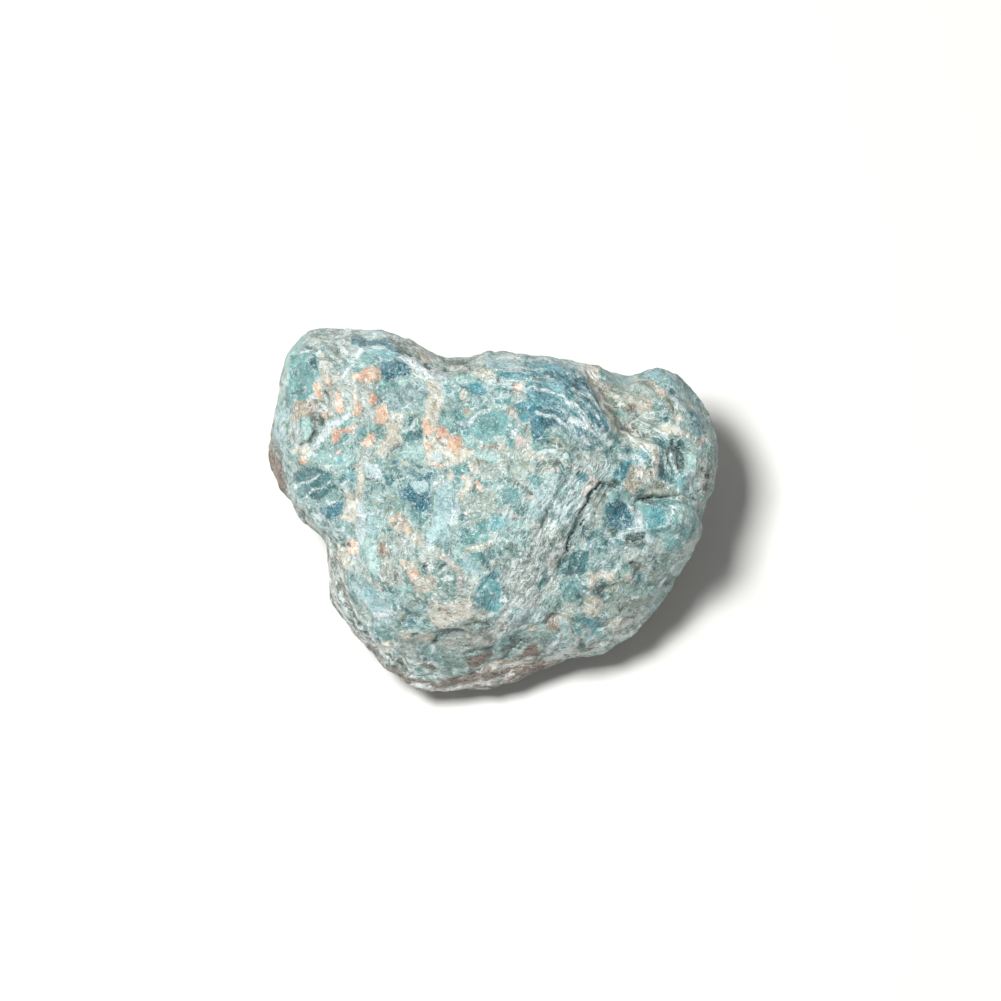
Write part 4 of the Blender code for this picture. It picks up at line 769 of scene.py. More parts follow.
# The lower rim: grey breaks, green leaves and the strip of crust under them.
area("crust", -13, -26.8, -10.8, -27.4, -8.4, -27.2, -7.6, -26.3, -5, -26.3, -2.4, -25.2, 0, -24,
     5, -23.6, 7.4, -23.6, 10, -24, 8, -25.8, 4, -27.2, 0, -28.4, -4, -28.8, -8, -29.4, -13, -29)
area("grey", -8.8, -21, -7.4, -19.6, -5, -19.6, -3.8, -19, -2, -18.6, 0, -18.4, 0.4, -20,
     -0.4, -21.4, -2, -21.8, -4, -21.6, -5, -21.8, -7, -22, -8.6, -22)
streak("dark", 0.2, -4.4, -18, -2.6, -17.8, -1, -17.8, -0.6, -18.2)
streak("blush", 0.25, -7.6, -18.3, -6, -18.4, -4.4, -18.8)
streak("dark_green", 0.36, -9.3, -20.8, -8.6, -19.8, -7.5, -19.1, -6, -19.2, -5, -19.4)
area("grit", -15, -20.6, -12.8, -21.2, -12, -22.6, -11.6, -24, -12.6, -24.6, -14.4, -23,
     -16, -22, -16.4, -21)
area("teal", -11.6, -21.8, -11, -21, -10.4, -21, -9.8, -21.8, -10, -22.6, -11, -22.8)
area("speckle", -17, -22.8, -16.2, -22.4, -15.6, -23.4, -14.6, -23, -13.6, -24, -13.2, -25.4,
     -12.8, -26, -13.6, -26.6, -14.8, -26.4, -15.6, -25, -16.8, -24)
streak("dark", 0.35, -16.7, -23, -16.2, -24.4, -15.6, -24.9)
streak("dark", 0.4, -15, -23.8, -14.2, -25.2)
streak("dark", 0.3, -15, -26.4, -14, -26.6, -12.9, -26)
streak("white", 0.2, -15, -25.8, -13.8, -25.9)
area("green", -9.8, -22.8, -8.4, -22.3, -7, -22.6, -5.6, -23, -4.6, -24, -4, -25.2, -4.8, -26,
     -6.6, -26.2, -7.8, -26, -8.6, -25, -9.8, -24.4)
area("teal", -10, -22.8, -8.6, -22.4, -8, -24.6, -8.8, -24.4, -9.8, -23.6)
streak("dark_green", 0.35, -11.9, -22.6, -11.4, -23.4, -10.8, -24)
area("crust", -12.4, -24, -11, -24.4, -9.8, -25, -8.6, -26.2, -8.4, -27, -9, -27.2, -11, -25.4)
area("green", -11.6, -25.8, -10.4, -25.2, -9.6, -25.6, -9.2, -26.4, -9.4, -27.1, -10.4,
     -27.1, -11.2, -26.6)
area("white", -10.4, -23.6, -9.8, -23.7, -8.8, -24.2, -9, -24.7, -9.8, -24.5, -10.5, -24.1)
streak("white", 0.2, -12.3, -21, -11.8, -22.4, -11.2, -23.8, -10.4, -24.2)
streak("white", 0.25, -10.2, -20.6, -9.5, -21.6, -9.8, -22.4)
streak("white", 0.15, -9, -25, -8, -26)
streak("white", 0.2, -13, -26.4, -12, -26.8, -10.8, -27.1)
streak("dark", 0.14, -11, -24.3, -10, -24.8, -9, -25.2, -8.4, -25.8)
area("crust", -4.4, -23.4, -2.6, -22.8, -1, -22.4, 0, -22, 0, -23, -1.6, -24, -3, -25, -4.2, -25.4)
streak("dark_green", 0.35, -4.2, -22.5, -2.8, -22, -1.2, -21.9, -0.4, -21.6)
streak("dark", 0.16, -2.8, -25.5, -2.3, -25.2)
area("grey", 0, -17.4, 2, -16.4, 2.4, -18.4, 1.6, -19.4, 0.6, -20.4, 0, -20)
area("blue_grey", 2.4, -15, 4, -14.8, 5.6, -15, 7, -15.4, 7.4, -17.4, 5.8, -18.2, 4.6,
     -18.4, 3.4, -18, 2.4, -17)
spot("dark_teal", 3.4, -15.6, 0.35)
area("tan", 0, -23.8, 2.6, -23.4, 5, -23, 7.2, -23.4, 5, -24.2, 2.4, -24.8, 0, -25.2, -0.6, -24.6)
area("teal", 0.4, -21.4, 1, -20, 2, -19.4, 3.4, -19.5, 4.4, -19.6, 4.8, -20.2, 3.8, -21.4,
     2.6, -22.6, 1.8, -23.3, 0.2, -22.8, -0.2, -22)
area("dark_green", 2, -19.6, 4.4, -19.8, 3, -21.6, 1.8, -22.8, 0.6, -22.6, 2.4, -21)
streak("dark", 0.2, 1.6, -23.3, 3, -21.9, 4.4, -20.6)
spot("pale", 0.9, -22, 0.3)
streak("dark_green", 0.35, 4, -21.9, 5, -21, 5.8, -20.2)
spot("dark", 5.8, -20.1, 0.3)
area("cream", 5.2, -18.2, 6.4, -18, 6.8, -18.6, 5.8, -19)
area("green", 6.4, -19.4, 7.6, -18.8, 9, -19, 9.6, -20, 9, -21.2, 8, -21.4, 7, -20.8)
area("crust", 4.4, -22.6, 5.8, -20.6, 6.6, -20.6, 7.4, -22.4, 7.4, -23, 5.4, -23.4, 3.4, -23.4)

# Lower right: the speckled oval, the rusty flake and the teal grains along the rim.
area("pale", 10.2, -14.6, 13, -14.4, 13.4, -16, 12, -16.4, 12.4, -20, 10.6, -20, 10.2, -17)
area("speckle", 8.2, -12.6, 10, -12.2, 10.4, -14, 10.6, -15, 10, -16.4, 9.4, -17, 8.2,
     -16.4, 7.8, -15, 7.9, -13.6)
area("rust", 8, -17.8, 8.6, -16.9, 9.6, -17, 10.2, -17.4, 10.4, -18.4, 10.2, -19, 9.8,
     -18.8, 9, -18.6, 8.2, -18.2)
area("coral", 9.4, -17.6, 10, -17.4, 10.3, -18.6, 9.8, -18.8, 9.2, -18.2)
area("dark", 8.6, -16.8, 9.2, -16.2, 9.6, -16.4, 9.4, -17, 8.8, -17.2)
streak("dark", 0.18, 8.2, -17.9, 9.2, -17.5)
spot("dark", 10.2, -19.1, 0.24)
area("cream", 10.4, -16, 11.8, -16, 12.4, -16.8, 11, -16.9, 10.4, -16.6)
area("sky", 10.6, -17.4, 11.6, -17.6, 12, -19, 11.4, -19.6, 10.8, -18.8)
streak("dark", 0.15, 12.4, -17, 12.4, -18.6, 12.6, -19.8)
area("green", 10.6, -20.2, 11.4, -19.9, 12.2, -20.2, 12.2, -21.6, 11.2, -21.4, 10.6, -20.8)
spot("dark", 11.1, -20.4, 0.28)
area("grey", 7.4, -23.2, 9.4, -22.8, 12, -22.4, 14, -22, 15.4, -21, 17, -20.8, 17.6, -21.4,
     16.6, -22.4, 14.6, -23.2, 12, -23.7, 8.4, -23.6)
streak("white", 0.35, 10.2, -19.6, 10, -20.8, 9.2, -21.6, 8.6, -22.6)
streak("white", 0.16, 7.4, -21.6, 8.6, -22.2)
area("teal", 12.8, -17, 13.4, -16.4, 14.2, -16.8, 14.4, -18, 14, -19.2, 13.4, -20, 12.8, -19.2)
area("clear", 14.4, -17, 15.6, -16.9, 17, -17.8, 16.8, -18.8, 15.8, -19.2, 15, -18.6, 14.6, -18)
area("sky", 14, -19.6, 15, -18.8, 15.8, -20, 15.4, -20.8, 14, -20.8)
area("teal", 15.8, -19.4, 17, -19, 17.4, -20.2, 16.4, -20.6, 15.8, -20.2)
area("dark_green", 13.4, -21, 14.2, -20.4, 14.8, -20.6, 14.6, -21.6, 13.8, -22)
streak("blush", 0.25, 14.8, -18.6, 14, -19.6, 13.2, -20.8, 12.2, -22)
streak("white", 0.16, 13.3, -20.8, 13, -21.8)
area("cream", 14.4, -14, 15.2, -13, 17, -13.6, 17.6, -14.8, 16.6, -16, 17, -17, 16, -16.8,
     14.8, -16.4, 14, -16)
spot("dark", 15.5, -16.2, 0.2)
spot("grey", 16.4, -14.6, 0.35)
area("teal", 10.2, -11, 11.4, -10.2, 13, -10.8, 14.6, -10.4, 14.8, -13, 14, -13.8, 12.6,
     -14.4, 11, -14.4, 10.6, -13)
streak("white", 0.14, 13.4, -10.8, 14.2, -11.3)
spot("sky", 14, -12.8, 0.4)
spot("sky", 13.3, -11.6, 0.3)
area("grit", -0.4, 1, 2.4, 1, 2.6, -0.6, 1, -0.8, -0.2, -0.4)
area("blush", 2.6, -0.4, 3.6, -0.6, 4, -1, 3.2, -1.2)
area("turquoise", 0, -0.8, 1.6, -1, 2.4, -1.4, 2.2, -2.4, 0.6, -3.6, -0.4, -3.4, -1, -2)
area("sky", 0.4, -3.4, 1.4, -2.4, 2.6, -2.4, 2.8, -3, 1.4, -4, 0.4, -4.2)
area("mint", 2.6, -1.6, 3.6, -1.4, 5, -2, 5.4, -3, 4, -3, 2.8, -2.8)
area("teal", 1.2, -4.2, 2.4, -3.6, 3.6, -3, 4.2, -3.1, 3.8, -3.9, 2.6, -4.2, 1.4, -4.6)
area("green", 0, -4.6, 2.5, -4.6, 4.4, -5.4, 4.6, -7, 3, -7.4, 2.2, -7, 1.8, -6, 0.6, -5.2)
area("dark_teal", 4, -4.4, 4.6, -4.2, 5, -4.2, 5, -5.1, 4.4, -5, 4.1, -4.8)
area("sky", 5.2, 1.4, 7.4, 1, 8.6, 0.8, 8, -0.6, 7, -1.4, 5.6, -1, 5.2, 0)
area("pale", 8, -1.2, 9.4, -1.4, 10, -2.6, 9.6, -4.4, 8.4, -4.4, 7.8, -3)
area("dark_green", 8.6, -4.5, 9.4, -5, 9.9, -5.1, 9.2, -5.4, 8.6, -5.8, 8.7, -5.2)
area("grey", 8.8, -6.4, 9.8, -5.5, 11, -5.4, 11.2, -6.4, 10.6, -7.2, 9.4, -7.4, 8.8, -7)
area("blush", 8.6, -7.4, 9.8, -7.4, 9.6, -7.9, 8.9, -7.8)
streak("cream", 0.16, 9.3, -7.8, 9.3, -9, 9, -9.8, 8.7, -10.6)
area("dark_teal", 12.6, -0.8, 13.4, -1.2, 13.2, -2, 12.6, -3, 12.2, -4, 11.9, -3.4, 12.2, -2)
area("green", 10.4, -2.4, 11.4, -2, 11.8, -3.2, 11.4, -4.4, 10.4, -4)
area("olive", 9.6, -7.9, 10.2, -7.6, 10.4, -8.4, 10.8, -9.4, 10.2, -9.8, 9.6, -9.4, 9.5, -8.6)
area("dark_green", 10.4, -8.2, 11.6, -7.2, 12, -7.6, 11.8, -8.8, 11.2, -9.6, 10.6, -9.2)
area("dark_teal", 12.2, -7.2, 13, -6, 14.3, -5.8, 15, -7, 15.2, -8.6, 14.6, -9.6, 13, -10.4,
     12, -10.2, 11.2, -9.4, 12, -8.4)
area("teal", 12.6, -8.2, 13.4, -8.8, 13.2, -9.8, 12, -10, 11.2, -9.4, 12, -8.8)
streak("dark_teal", 0.4, 8.2, -9.4, 7.8, -11, 7, -11.8)
spot("dark_teal", 6.8, -9, 0.38)
spot("dark_teal", 7.4, -7.6, 0.35)
streak("dark_green", 0.2, 8.9, -10.2, 8.6, -10.9)
streak("dark_green", 0.24, 2.2, -12.6, 2.3, -13.8)
spot("white", 4.3, -6.8, 0.22)
spot("white", 4.1, -7.9, 0.24)
spot("white", 2.3, -8.2, 0.22)
spot("white", 4.2, -9.3, 0.3)
spot("white", 0.8, -10.9, 0.25)
area("pale", 14.2, -0.8, 15.6, -0.4, 17, -0.6, 17, -1.8, 16.4, -3, 15.4, -2.6, 15, -3.4,
     14.7, -2.2, 14.9, -1.4)
area("dark_teal", 13.8, -2.4, 14.4, -2, 14.6, -3, 15, -3.8, 15.6, -3, 16.3, -3.2, 16.4, -4,
     15.8, -4.6, 14.6, -4.7, 13.9, -3.8)
spot("white", 14.7, -3.6, 0.24)
area("blue_grey", 14.4, -5, 16, -4.8, 16.4, -5.6, 15.6, -7.6, 15.2, -7, 14.6, -5.8)
streak("white", 0.2, 12.6, -5.9, 13.2, -6.2)
area("dark_teal", 16.6, -5.6, 17, -5.8, 17.1, -6.4, 16.6, -6.9, 16.1, -6.6, 16.2, -6)
area("dark_teal", 15.6, -7.6, 16, -7.4, 16.3, -8, 15.9, -8.7, 15.4, -8.6)
spot("white", 15.6, -8.1, 0.2)
area("blue_grey", 16.8, -7, 18.6, -6.6, 19.4, -7.4, 19.2, -9, 17.8, -9.4, 16.8, -8.6)
area("blue_grey", 17.8, -5, 20.6, -5, 21, -6.6, 20, -7.4, 18.8, -7.2, 17.8, -6)
streak("white", 0.13, 18, -5.4, 18.6, -6.4, 19.4, -7.2)
streak("teal", 0.25, 18.6, -4.6, 20.6, -4.8)
streak("white", 0.25, 18.8, -9.8, 19.6, -9.3, 19.7, -8.8)
area("cream", 15, -9.4, 16, -9.8, 17, -9.4, 18.4, -9.8, 19.6, -9.8, 18.6, -11, 17, -10.6,
     16.4, -11.6, 15.4, -11.8, 15, -12.8, 14.6, -11.6)
area("dark_green", 16.6, -10.8, 17.4, -11.2, 18, -11.6, 18, -12.4, 17.4, -12.8, 16.8, -13.2,
     15.8, -13.1, 15.6, -12.3, 16.2, -11.9, 16.8, -11.8)
area("grit", 20.4, -6.6, 22.6, -6, 24.6, -7, 24.8, -8.6, 22.6, -8.2, 21, -8.4, 20.2, -7.6)
area("grey_green", 17.8, -13.6, 20, -13.2, 24, -13.4, 25.6, -14.4, 25.2, -15.6, 24.6, -16.6,
     23.6, -17.4, 22, -17.8, 20, -17.6, 18.4, -17, 17.6, -16)
area("olive", 17.8, -11.2, 20.4, -10.6, 20.6, -11.4, 19.6, -12.2, 20, -13.2, 18.6, -12.8,
     17.8, -12.6)
area("green", 21, -12, 23.4, -11, 25, -10.8, 26.8, -11.4, 27.4, -12.4, 26.6, -13.2, 24.6, -12.6,
     23, -13.6, 21.6, -13.6, 20.8, -12.8)
area("cream", 20.4, -10.2, 21.4, -9.8, 22, -10.6, 21.8, -11.4, 20.8, -11.2)
area("dark", 21.8, -8, 22.4, -8.4, 23.2, -8.4, 23.6, -9, 23, -9.6, 22.6, -10, 22.2, -10.6,
     22, -9.4, 21.6, -8.8)
spot("dark_green", 24.2, -9, 0.32)
streak("blush", 0.3, 23.6, -9.4, 23.9, -8.9)
streak("dark_green", 0.25, 25.4, -7.6, 26, -8.4)
streak("dark_green", 0.2, 25.3, -9, 26, -9.6)
area("dark_teal", 26.4, -11.2, 28.2, -10, 29.4, -10.4, 29, -11.4, 27.6, -12.2)
streak("white", 0.15, 25.8, -12.4, 26.8, -11.6, 27.4, -10.8)
spot("white", 27.2, -12.6, 0.25)
area("mint", 24.6, -12.2, 26, -12, 26.6, -13, 25.8, -14, 25, -13.4)
area("grey", 20.2, -16.4, 21.6, -16.2, 23.2, -16.4, 23.6, -17.2, 22.4, -17.8, 20.8, -17.6)
area("sky", 24, -17, 25, -15, 25.6, -15, 25.4, -16.4, 24.6, -17)
area("speckle", 17.6, -19, 19, -18.6, 20.6, -18.4, 21.6, -18, 22.4, -18.4, 21.6, -19.4, 20.6, -20,
     19.4, -20.4, 18, -21.2, 17.4, -20.6)
spot("dark_teal", 18.6, -19.6, 0.4)
spot("dark_teal", 21.2, -19, 0.35)
spot("dark_teal", 17.9, -20.2, 0.45)
area("cream", 18.2, -17.2, 19.4, -16.6, 20.4, -17.2, 21.2, -17.4, 20.6, -18.2, 19.4, -18.6,
     18.2, -18.6, 17.8, -18)
spot("tan", 18.9, -17.9, 0.3)
streak("white", 0.2, 21.6, -19.6, 22.6, -18.8, 23.4, -18.2)

# Cracks, painted dark for the shade inside them: the long one that splits the ridge from the right flank, and
# its like.
streak("shaded_crack", 0.16, 16.9, 4.4, 16, 3.6, 15.6, 3.3, 14.9, 2.7, 14.7, 2.2, 14.5, 1, 14.3, 1,
       13.3, -0.4)
streak("shaded_crack", 0.14, 14.5, -1.3, 13.7, -2.2)
streak("shaded_crack", 0.15, 12.5, -3.5, 11.5, -5, 11.4, -6.2, 11.9, -6.6)
streak("shaded_crack", 0.14, 23, 1.8, 24, 1.9, 25, 2.1, 26.3, 2.1, 27.6, 2.2)
area("shaded_crack", 24.7, 2.7, 25.1, 2.3, 25.3, 1.7, 24.9, 1.7, 24.9, 2.1)

# The crust along the rims: the old outer skin of the rock shows as a brown layered wall
# down the lower left, along the bottom and up the left side.
area("crust", -30.5, -1.5, -27, -4.5, -26.8, -8, -26.2, -13, -25.2, -16, -22.5, -20, -18.5, -23.6,
     -15.5, -26.2, -13, -28.6, -8, -29.6, -8.6, -27.6, -13, -26.6, -16.5, -24, -18.4, -21.5,
     -20.2, -18.5, -22.4, -15, -23.6, -11.4, -25.2, -8, -26.3, -4.9)
area("crust", -9.4, -27.8, -4, -27.3, 0, -26.5, 4, -24.7, 8, -23.7, 11, -23.4, 10, -25, 4, -27, -4,
     -29.5, -9, -29.8)
area("crust", -32, 0.2, -34.2, 2.4, -36.4, 5, -36.8, 12, -36, 17, -35, 21, -34.2, 19.6, -35, 14,
     -35.3, 9.4, -34.3, 5, -32.6, 2, -30.4, -1)
streak("grey", 0.35, -26, -6.6, -25.3, -10, -24.6, -13.4, -22.6, -17.2, -20, -20.4, -17, -23.6)
streak("blush", 0.22, -26.4, -8.4, -25.9, -11.6, -25.2, -14.6, -23.2, -18, -20.6, -21.2)
streak("dark", 0.16, -25.5, -8, -24.6, -12.6, -23.4, -15.6, -21.2, -18.6, -19.4, -21)
streak("dark", 0.14, -26.2, -12, -25, -15.6, -22.6, -19.2)
streak("white", 0.18, -24.9, -8.6, -23.3, -11.8, -22, -15.4, -20, -18.8, -18.2, -21.8, -16.2, -24.4)
streak("blush", 0.25, -13, -27.8, -9, -28.6, -5, -28.4, -1, -27.6, 3, -26)

# The clearest glassy grains, laid last because they stand free of the crust: the blue
# dome, the glassy lump low on the right, the broken blue grains at the left, and a few
# dark ones between.
area("clear", 4.6, 20, 9, 20.6, 12.4, 20.8, 13.2, 18.4, 11, 16.6, 7.6, 16.4, 5.2, 17.4)
area("deep_blue", 12.2, 21, 14.4, 21, 15.8, 18.8, 17, 15.8, 18.2, 13, 17.2, 11.8, 15.2,
     14.2, 13.8, 17,
     12.8, 18.8)
area("deep_blue", 4.8, 16.4, 9.6, 16, 12.2, 15.4, 11.6, 13.6, 8.2, 12.8, 7.4, 11, 6, 11.6,
     5.4, 14.4)
streak("white", 0.14, 5.4, 19.2, 8.4, 19.3, 11, 17.8, 12.4, 16.2)
streak("white", 0.16, 6.6, 15.4, 9.4, 14.9, 11, 13.6)
streak("white", 0.18, 12.4, 17.2, 13.8, 15.4, 15.2, 13, 16.4, 11.8)
streak("white", 0.12, 14.2, 18.6, 15.2, 16.4, 16.4, 14.4)
area("teal", 23.4, 0.6, 26, 1.3, 29.6, 1.2, 31.2, 0, 32.6, -2, 31.6, -4.2, 29, -3.8, 27, -3.2,
     25, -3.8, 23.8, -2.2)
area("dark_teal", 23.6, 0.2, 25.6, 0.8, 27.2, 0, 26.8, -1.4, 28.2, -2.6, 26.4, -3.2, 24.8, -3.4,
     23.8, -1.6)
area("mint", 28.2, 0.8, 30, 0.6, 31.2, -0.6, 30.4, -2, 28.8, -1.8)
# These two white streaks on the glassy lump are painted highlights.
streak("white", 0.16, 24.2, -0.6, 24.8, -1.6, 25.6, -1.2)
streak("white", 0.14, 28, 0.6, 28.2, -0.6, 27.4, -1.6)
area("green", 26, -3.8, 28.6, -3.6, 29.6, -5, 28.6, -6.8, 26.4, -6.2)
area("dark_green", 20.7, -3.8, 22.9, -3.5, 24.1, -4.8, 23.1, -6.1, 20.8, -5.7)
area("deep_blue", 17.7, 1.4, 19.8, 1.8, 21.4, 0.4, 21.8, -2, 19.8, -3.2, 17.9, -1.6)
area("dark_teal", 10, -8.4, 12.4, -6.6, 15.3, -6.1, 14.9, -9, 12.4, -10.3, 10.1, -9.9)
area("olive", 22.8, 2.1, 24.9, 4.6, 29, 2.6, 26, 2.3)
area("green", 7.8, -13.3, 10.2, -13, 10.9, -15, 9.1, -15.9, 7.6, -14.8)
area("rust", 8.4, -16.8, 10, -16.6, 10.2, -18.4, 8.8, -18.8)
area("deep_blue", -27.8, 0.8, -24, 1.5, -23.7, -0.6, -26, -1.1, -27.6, -0.4)
area("dark_teal", -32.2, 6.2, -28, 6.9, -25.4, 5.6, -24.7, 3.9, -27.6, 1.8, -30.6, 2.2)
streak("white", 0.09, -32.2, 3.2, -30.6, 4.4, -29.2, 4.6, -27.4, 5.8)
streak("white", 0.08, -30, 2, -28.6, 3.4, -27.2, 3.6, -25.6, 4.8)
area("blue_grey", 7.4, 4.8, 10.4, 5, 11, 3, 8.6, 2, 7, 3)
area("cream", 14.2, 23.4, 16.6, 22.9, 17, 20.6, 16.4, 18.4, 15.6, 18.6, 15.2, 20.8)
streak("cream", 0.55, 16.4, 18.2, 18, 15.6, 19.6, 13, 21, 11.6, 23.4, 10.8, 25.2, 10, 25.4,
       7.4, 25, 5.4)
streak("pale", 0.3, 18.8, 13.2, 20.6, 11.2, 23.6, 9.9)

# Flakes of peach calcite on the upper left and down the middle, each with a darker root.
area("peach", -22.6, 21.2, -21, 21.8, -20.4, 22.6, -18.8, 23, -17.8, 22, -18, 20.6, -19.6, 20.2,
     -20.8, 20.6, -22.4, 20.8)
area("coral", -19.8, 18.4, -18.8, 18.6, -18.2, 17.4, -18.6, 16.4, -19.6, 16.8)
area("peach", -25, 18.8, -24.4, 18.8, -23.6, 16.6, -23.8, 15.4, -25, 15.6, -24.8, 17)
area("peach", -22.2, 18.6, -21.7, 18.6, -20.6, 16, -20.9, 14.8, -22.2, 15, -21.8, 17)
area("peach", -18.6, 15.8, -17, 17, -16.4, 14.6, -17.6, 13.6, -18.8, 14)
area("coral", -25.6, 13, -24, 12.8, -22, 13.6, -21.8, 12.8, -24, 12.2, -24.6, 10.8, -25.6, 11)
area("peach", -20.8, 10.2, -19.8, 11, -18.8, 12.4, -18.4, 11.6, -19.6, 10)
area("peach", -28.2, 20, -27.2, 20.4, -27.2, 18, -28, 17.6)
area("blush", -31.8, 13.8, -30.6, 15.6, -29.2, 16.8, -28.6, 17.8, -27.4, 16.2, -28.4, 15, -30, 14.6)
spot("peach", -30, 8.2, 0.65)
area("peach", -11, 15, -10.2, 14.2, -9.4, 12.4, -10.6, 11.8, -11.4, 13.4)
area("coral", -9, 13, -7.8, 13.2, -6.8, 12, -7.6, 11.2, -8.8, 11.8)
area("peach", -6.8, 11.8, -5, 10.6, -5.6, 8.6, -7.4, 9.8)
area("peach", -11.4, 10.6, -9.8, 10.8, -9.4, 9.6, -11, 9.4)
spot("peach", -5, 5.2, 0.4)
spot("peach", -2.8, 4.6, 0.4)
streak("blush", 0.3, -26, 19.6, -25.6, 17.4, -26.2, 15.6)
streak("dark", 0.16, -28.4, 14.8, -28, 12.8, -29, 11)
area("deep_blue", -17.8, 24.2, -14.4, 23, -13, 21.6, -16.4, 20.6, -17.6, 22)
area("deep_blue", -14.8, 3.2, -12.6, 4.6, -10.4, 6.2, -9.8, 4, -9.9, 0.6, -11.2, 0, -13,
     1.4, -15, 1.8)
area("sky", -9, 4, -7.4, 4.4, -6.6, 1.4, -7.6, -2, -9, -3.6, -9.6, -1)

# Single grains that lie over their neighbours: darker glass, olive and rusty ones between
# the ridge and the lump, and the blue-grey top of the long ridge.
area("blue_grey", 6.2, 1.4, 8.4, 5.6, 11.4, 5.8, 13.2, 2.4, 12.2, -2.0, 10.0, -2.6, 8.2, -0.6)
area("teal", 9.4, 4.6, 11.6, 4.4, 11.8, 2.6, 10.0, 2.2)
streak("pale", 0.22, 7.6, 0.6, 10.2, 3.4, 12.2, 4.6)
streak("white", 0.12, 8.6, -0.2, 11.0, 2.6, 12.6, 3.2)
area("deep_blue", 12.2, 20.4, 15.0, 20.6, 17.0, 17.4, 16.2, 15.2, 13.4, 16.0)
streak("white", 0.12, 12.6, 19.4, 15.2, 17.6, 16.4, 15.8)
streak("clear", 0.16, 12.9, 18.2, 14.8, 16.6, 15.8, 15.4)
area("olive", 17.8, 19.4, 20.6, 19.2, 21.2, 16.6, 19.0, 15.6, 17.8, 16.6)
streak("cream", 0.20, 18.2, 18.9, 19.8, 17.4, 20.9, 16.2)
area("teal", 26.2, -4.0, 29.4, -4.0, 29.6, -6.2, 27.0, -6.4)
area("dark_green", 21.6, -3.2, 23.8, -3.4, 24.0, -5.8, 22.0, -6.0)
area("green", 7.8, -13.2, 10.4, -12.8, 11.0, -15.2, 9.0, -16.2, 7.6, -15.2)
area("rust", 8.2, -17.0, 10.2, -17.2, 10.0, -18.9, 8.6, -19.0)
area("olive", 24.6, 4.8, 27.4, 4.6, 27.8, 2.8, 25.4, 2.4)
area("sky", -13.4, 4.6, -10.8, 4.8, -10.2, 3.4, -12.4, 2.9)
area("teal", 1.0, 3.8, 3.8, 3.6, 4.0, 1.2, 1.4, 1.0)
area("pale", 29.6, -4.4, 32.2, -4.6, 32.0, -6.6, 29.8, -6.8)
area("tan", -31.6, 17.6, -28.8, 17.2, -28.6, 14.8, -31.0, 14.4)
area("drop", 23.6, 0.2, 26.6, 0.6, 27.2, -2.0, 24.2, -2.8)

# How far each point of the skin lies inside each kind of mineral, so that a patch ends
# in a crisp edge however coarse the mesh is. The places wander a little first, because
# grains never part along straight lines.
REACH_MM = 1.5
WANDERS_MM = ((2.6, 0.26), (0.9, 0.12))
SIDE_FADE = (0.0, 0.10)
NOISE_SEED = 5

noise.seed_set(NOISE_SEED)
wandered = on_face[:, :2].copy()
for width, amount in WANDERS_MM:
    for index, place in enumerate(points):
        push = noise.noise_vector(Vector(place) / width)
        wandered[index] += (push.x * amount, push.y * amount)


def inside_by(half_width, closed, outline, places):
    """How far inside a mark each place lies; outside it the number is negative."""
    starts = outline if closed else outline[:-1]
    ends = np.roll(outline, -1, axis=0) if closed else outline[1:]
    runs = ends - starts
    lengths = np.maximum((runs ** 2).sum(1), 1e-9)
    offsets = places[:, None] - starts
    along = np.clip((offsets * runs).sum(2) / lengths, 0, 1)
    gaps = np.linalg.norm(offsets - along[..., None] * runs, axis=2).min(1)
    if not closed:
        return half_width - gaps
    above = (starts[:, 1] > places[:, 1:2]) != (ends[:, 1] > places[:, 1:2])
    rises = np.where(runs[:, 1] == 0, 1e-9, runs[:, 1])
    crossings = starts[:, 0] + offsets[..., 1] / rises * runs[:, 0]
    within = (above & (places[:, 0:1] < crossings)).sum(1) % 2 == 1
    return np.where(within, gaps, -gaps)


depths = {kind: np.full(count, -REACH_MM) for kind, *_ in marks}
for kind, half_width, closed, outline in marks:
    margin = REACH_MM + half_width
    low = outline.min(0) - margin
    high = outline.max(0) + margin
    near = np.flatnonzero(((wandered > low) & (wandered < high)).all(1) & (turned_out > 0))
    deep = inside_by(half_width, closed, outline, wandered[near])
    for other, field in depths.items():
        if other == kind:
            field[near] = np.maximum(field[near], deep)
        else:
            field[near] = np.minimum(field[near], -deep)

shown = np.clip((turned_out - SIDE_FADE[0]) / (SIDE_FADE[1] - SIDE_FADE[0]), 0, 1)
for kind, field in depths.items():
    field -= (1.0 - shown) * REACH_MM * 2
    layer = fine.attributes.new(kind, "FLOAT", "POINT")
    layer.data.foreach_set("value", field.astype(np.float32))
layer = fine.attributes.new("shown", "FLOAT", "POINT")
layer.data.foreach_set("value", shown.astype(np.float32))
layer = fine.attributes.new("turned", "FLOAT", "POINT")
layer.data.foreach_set("value", turned_out.astype(np.float32))

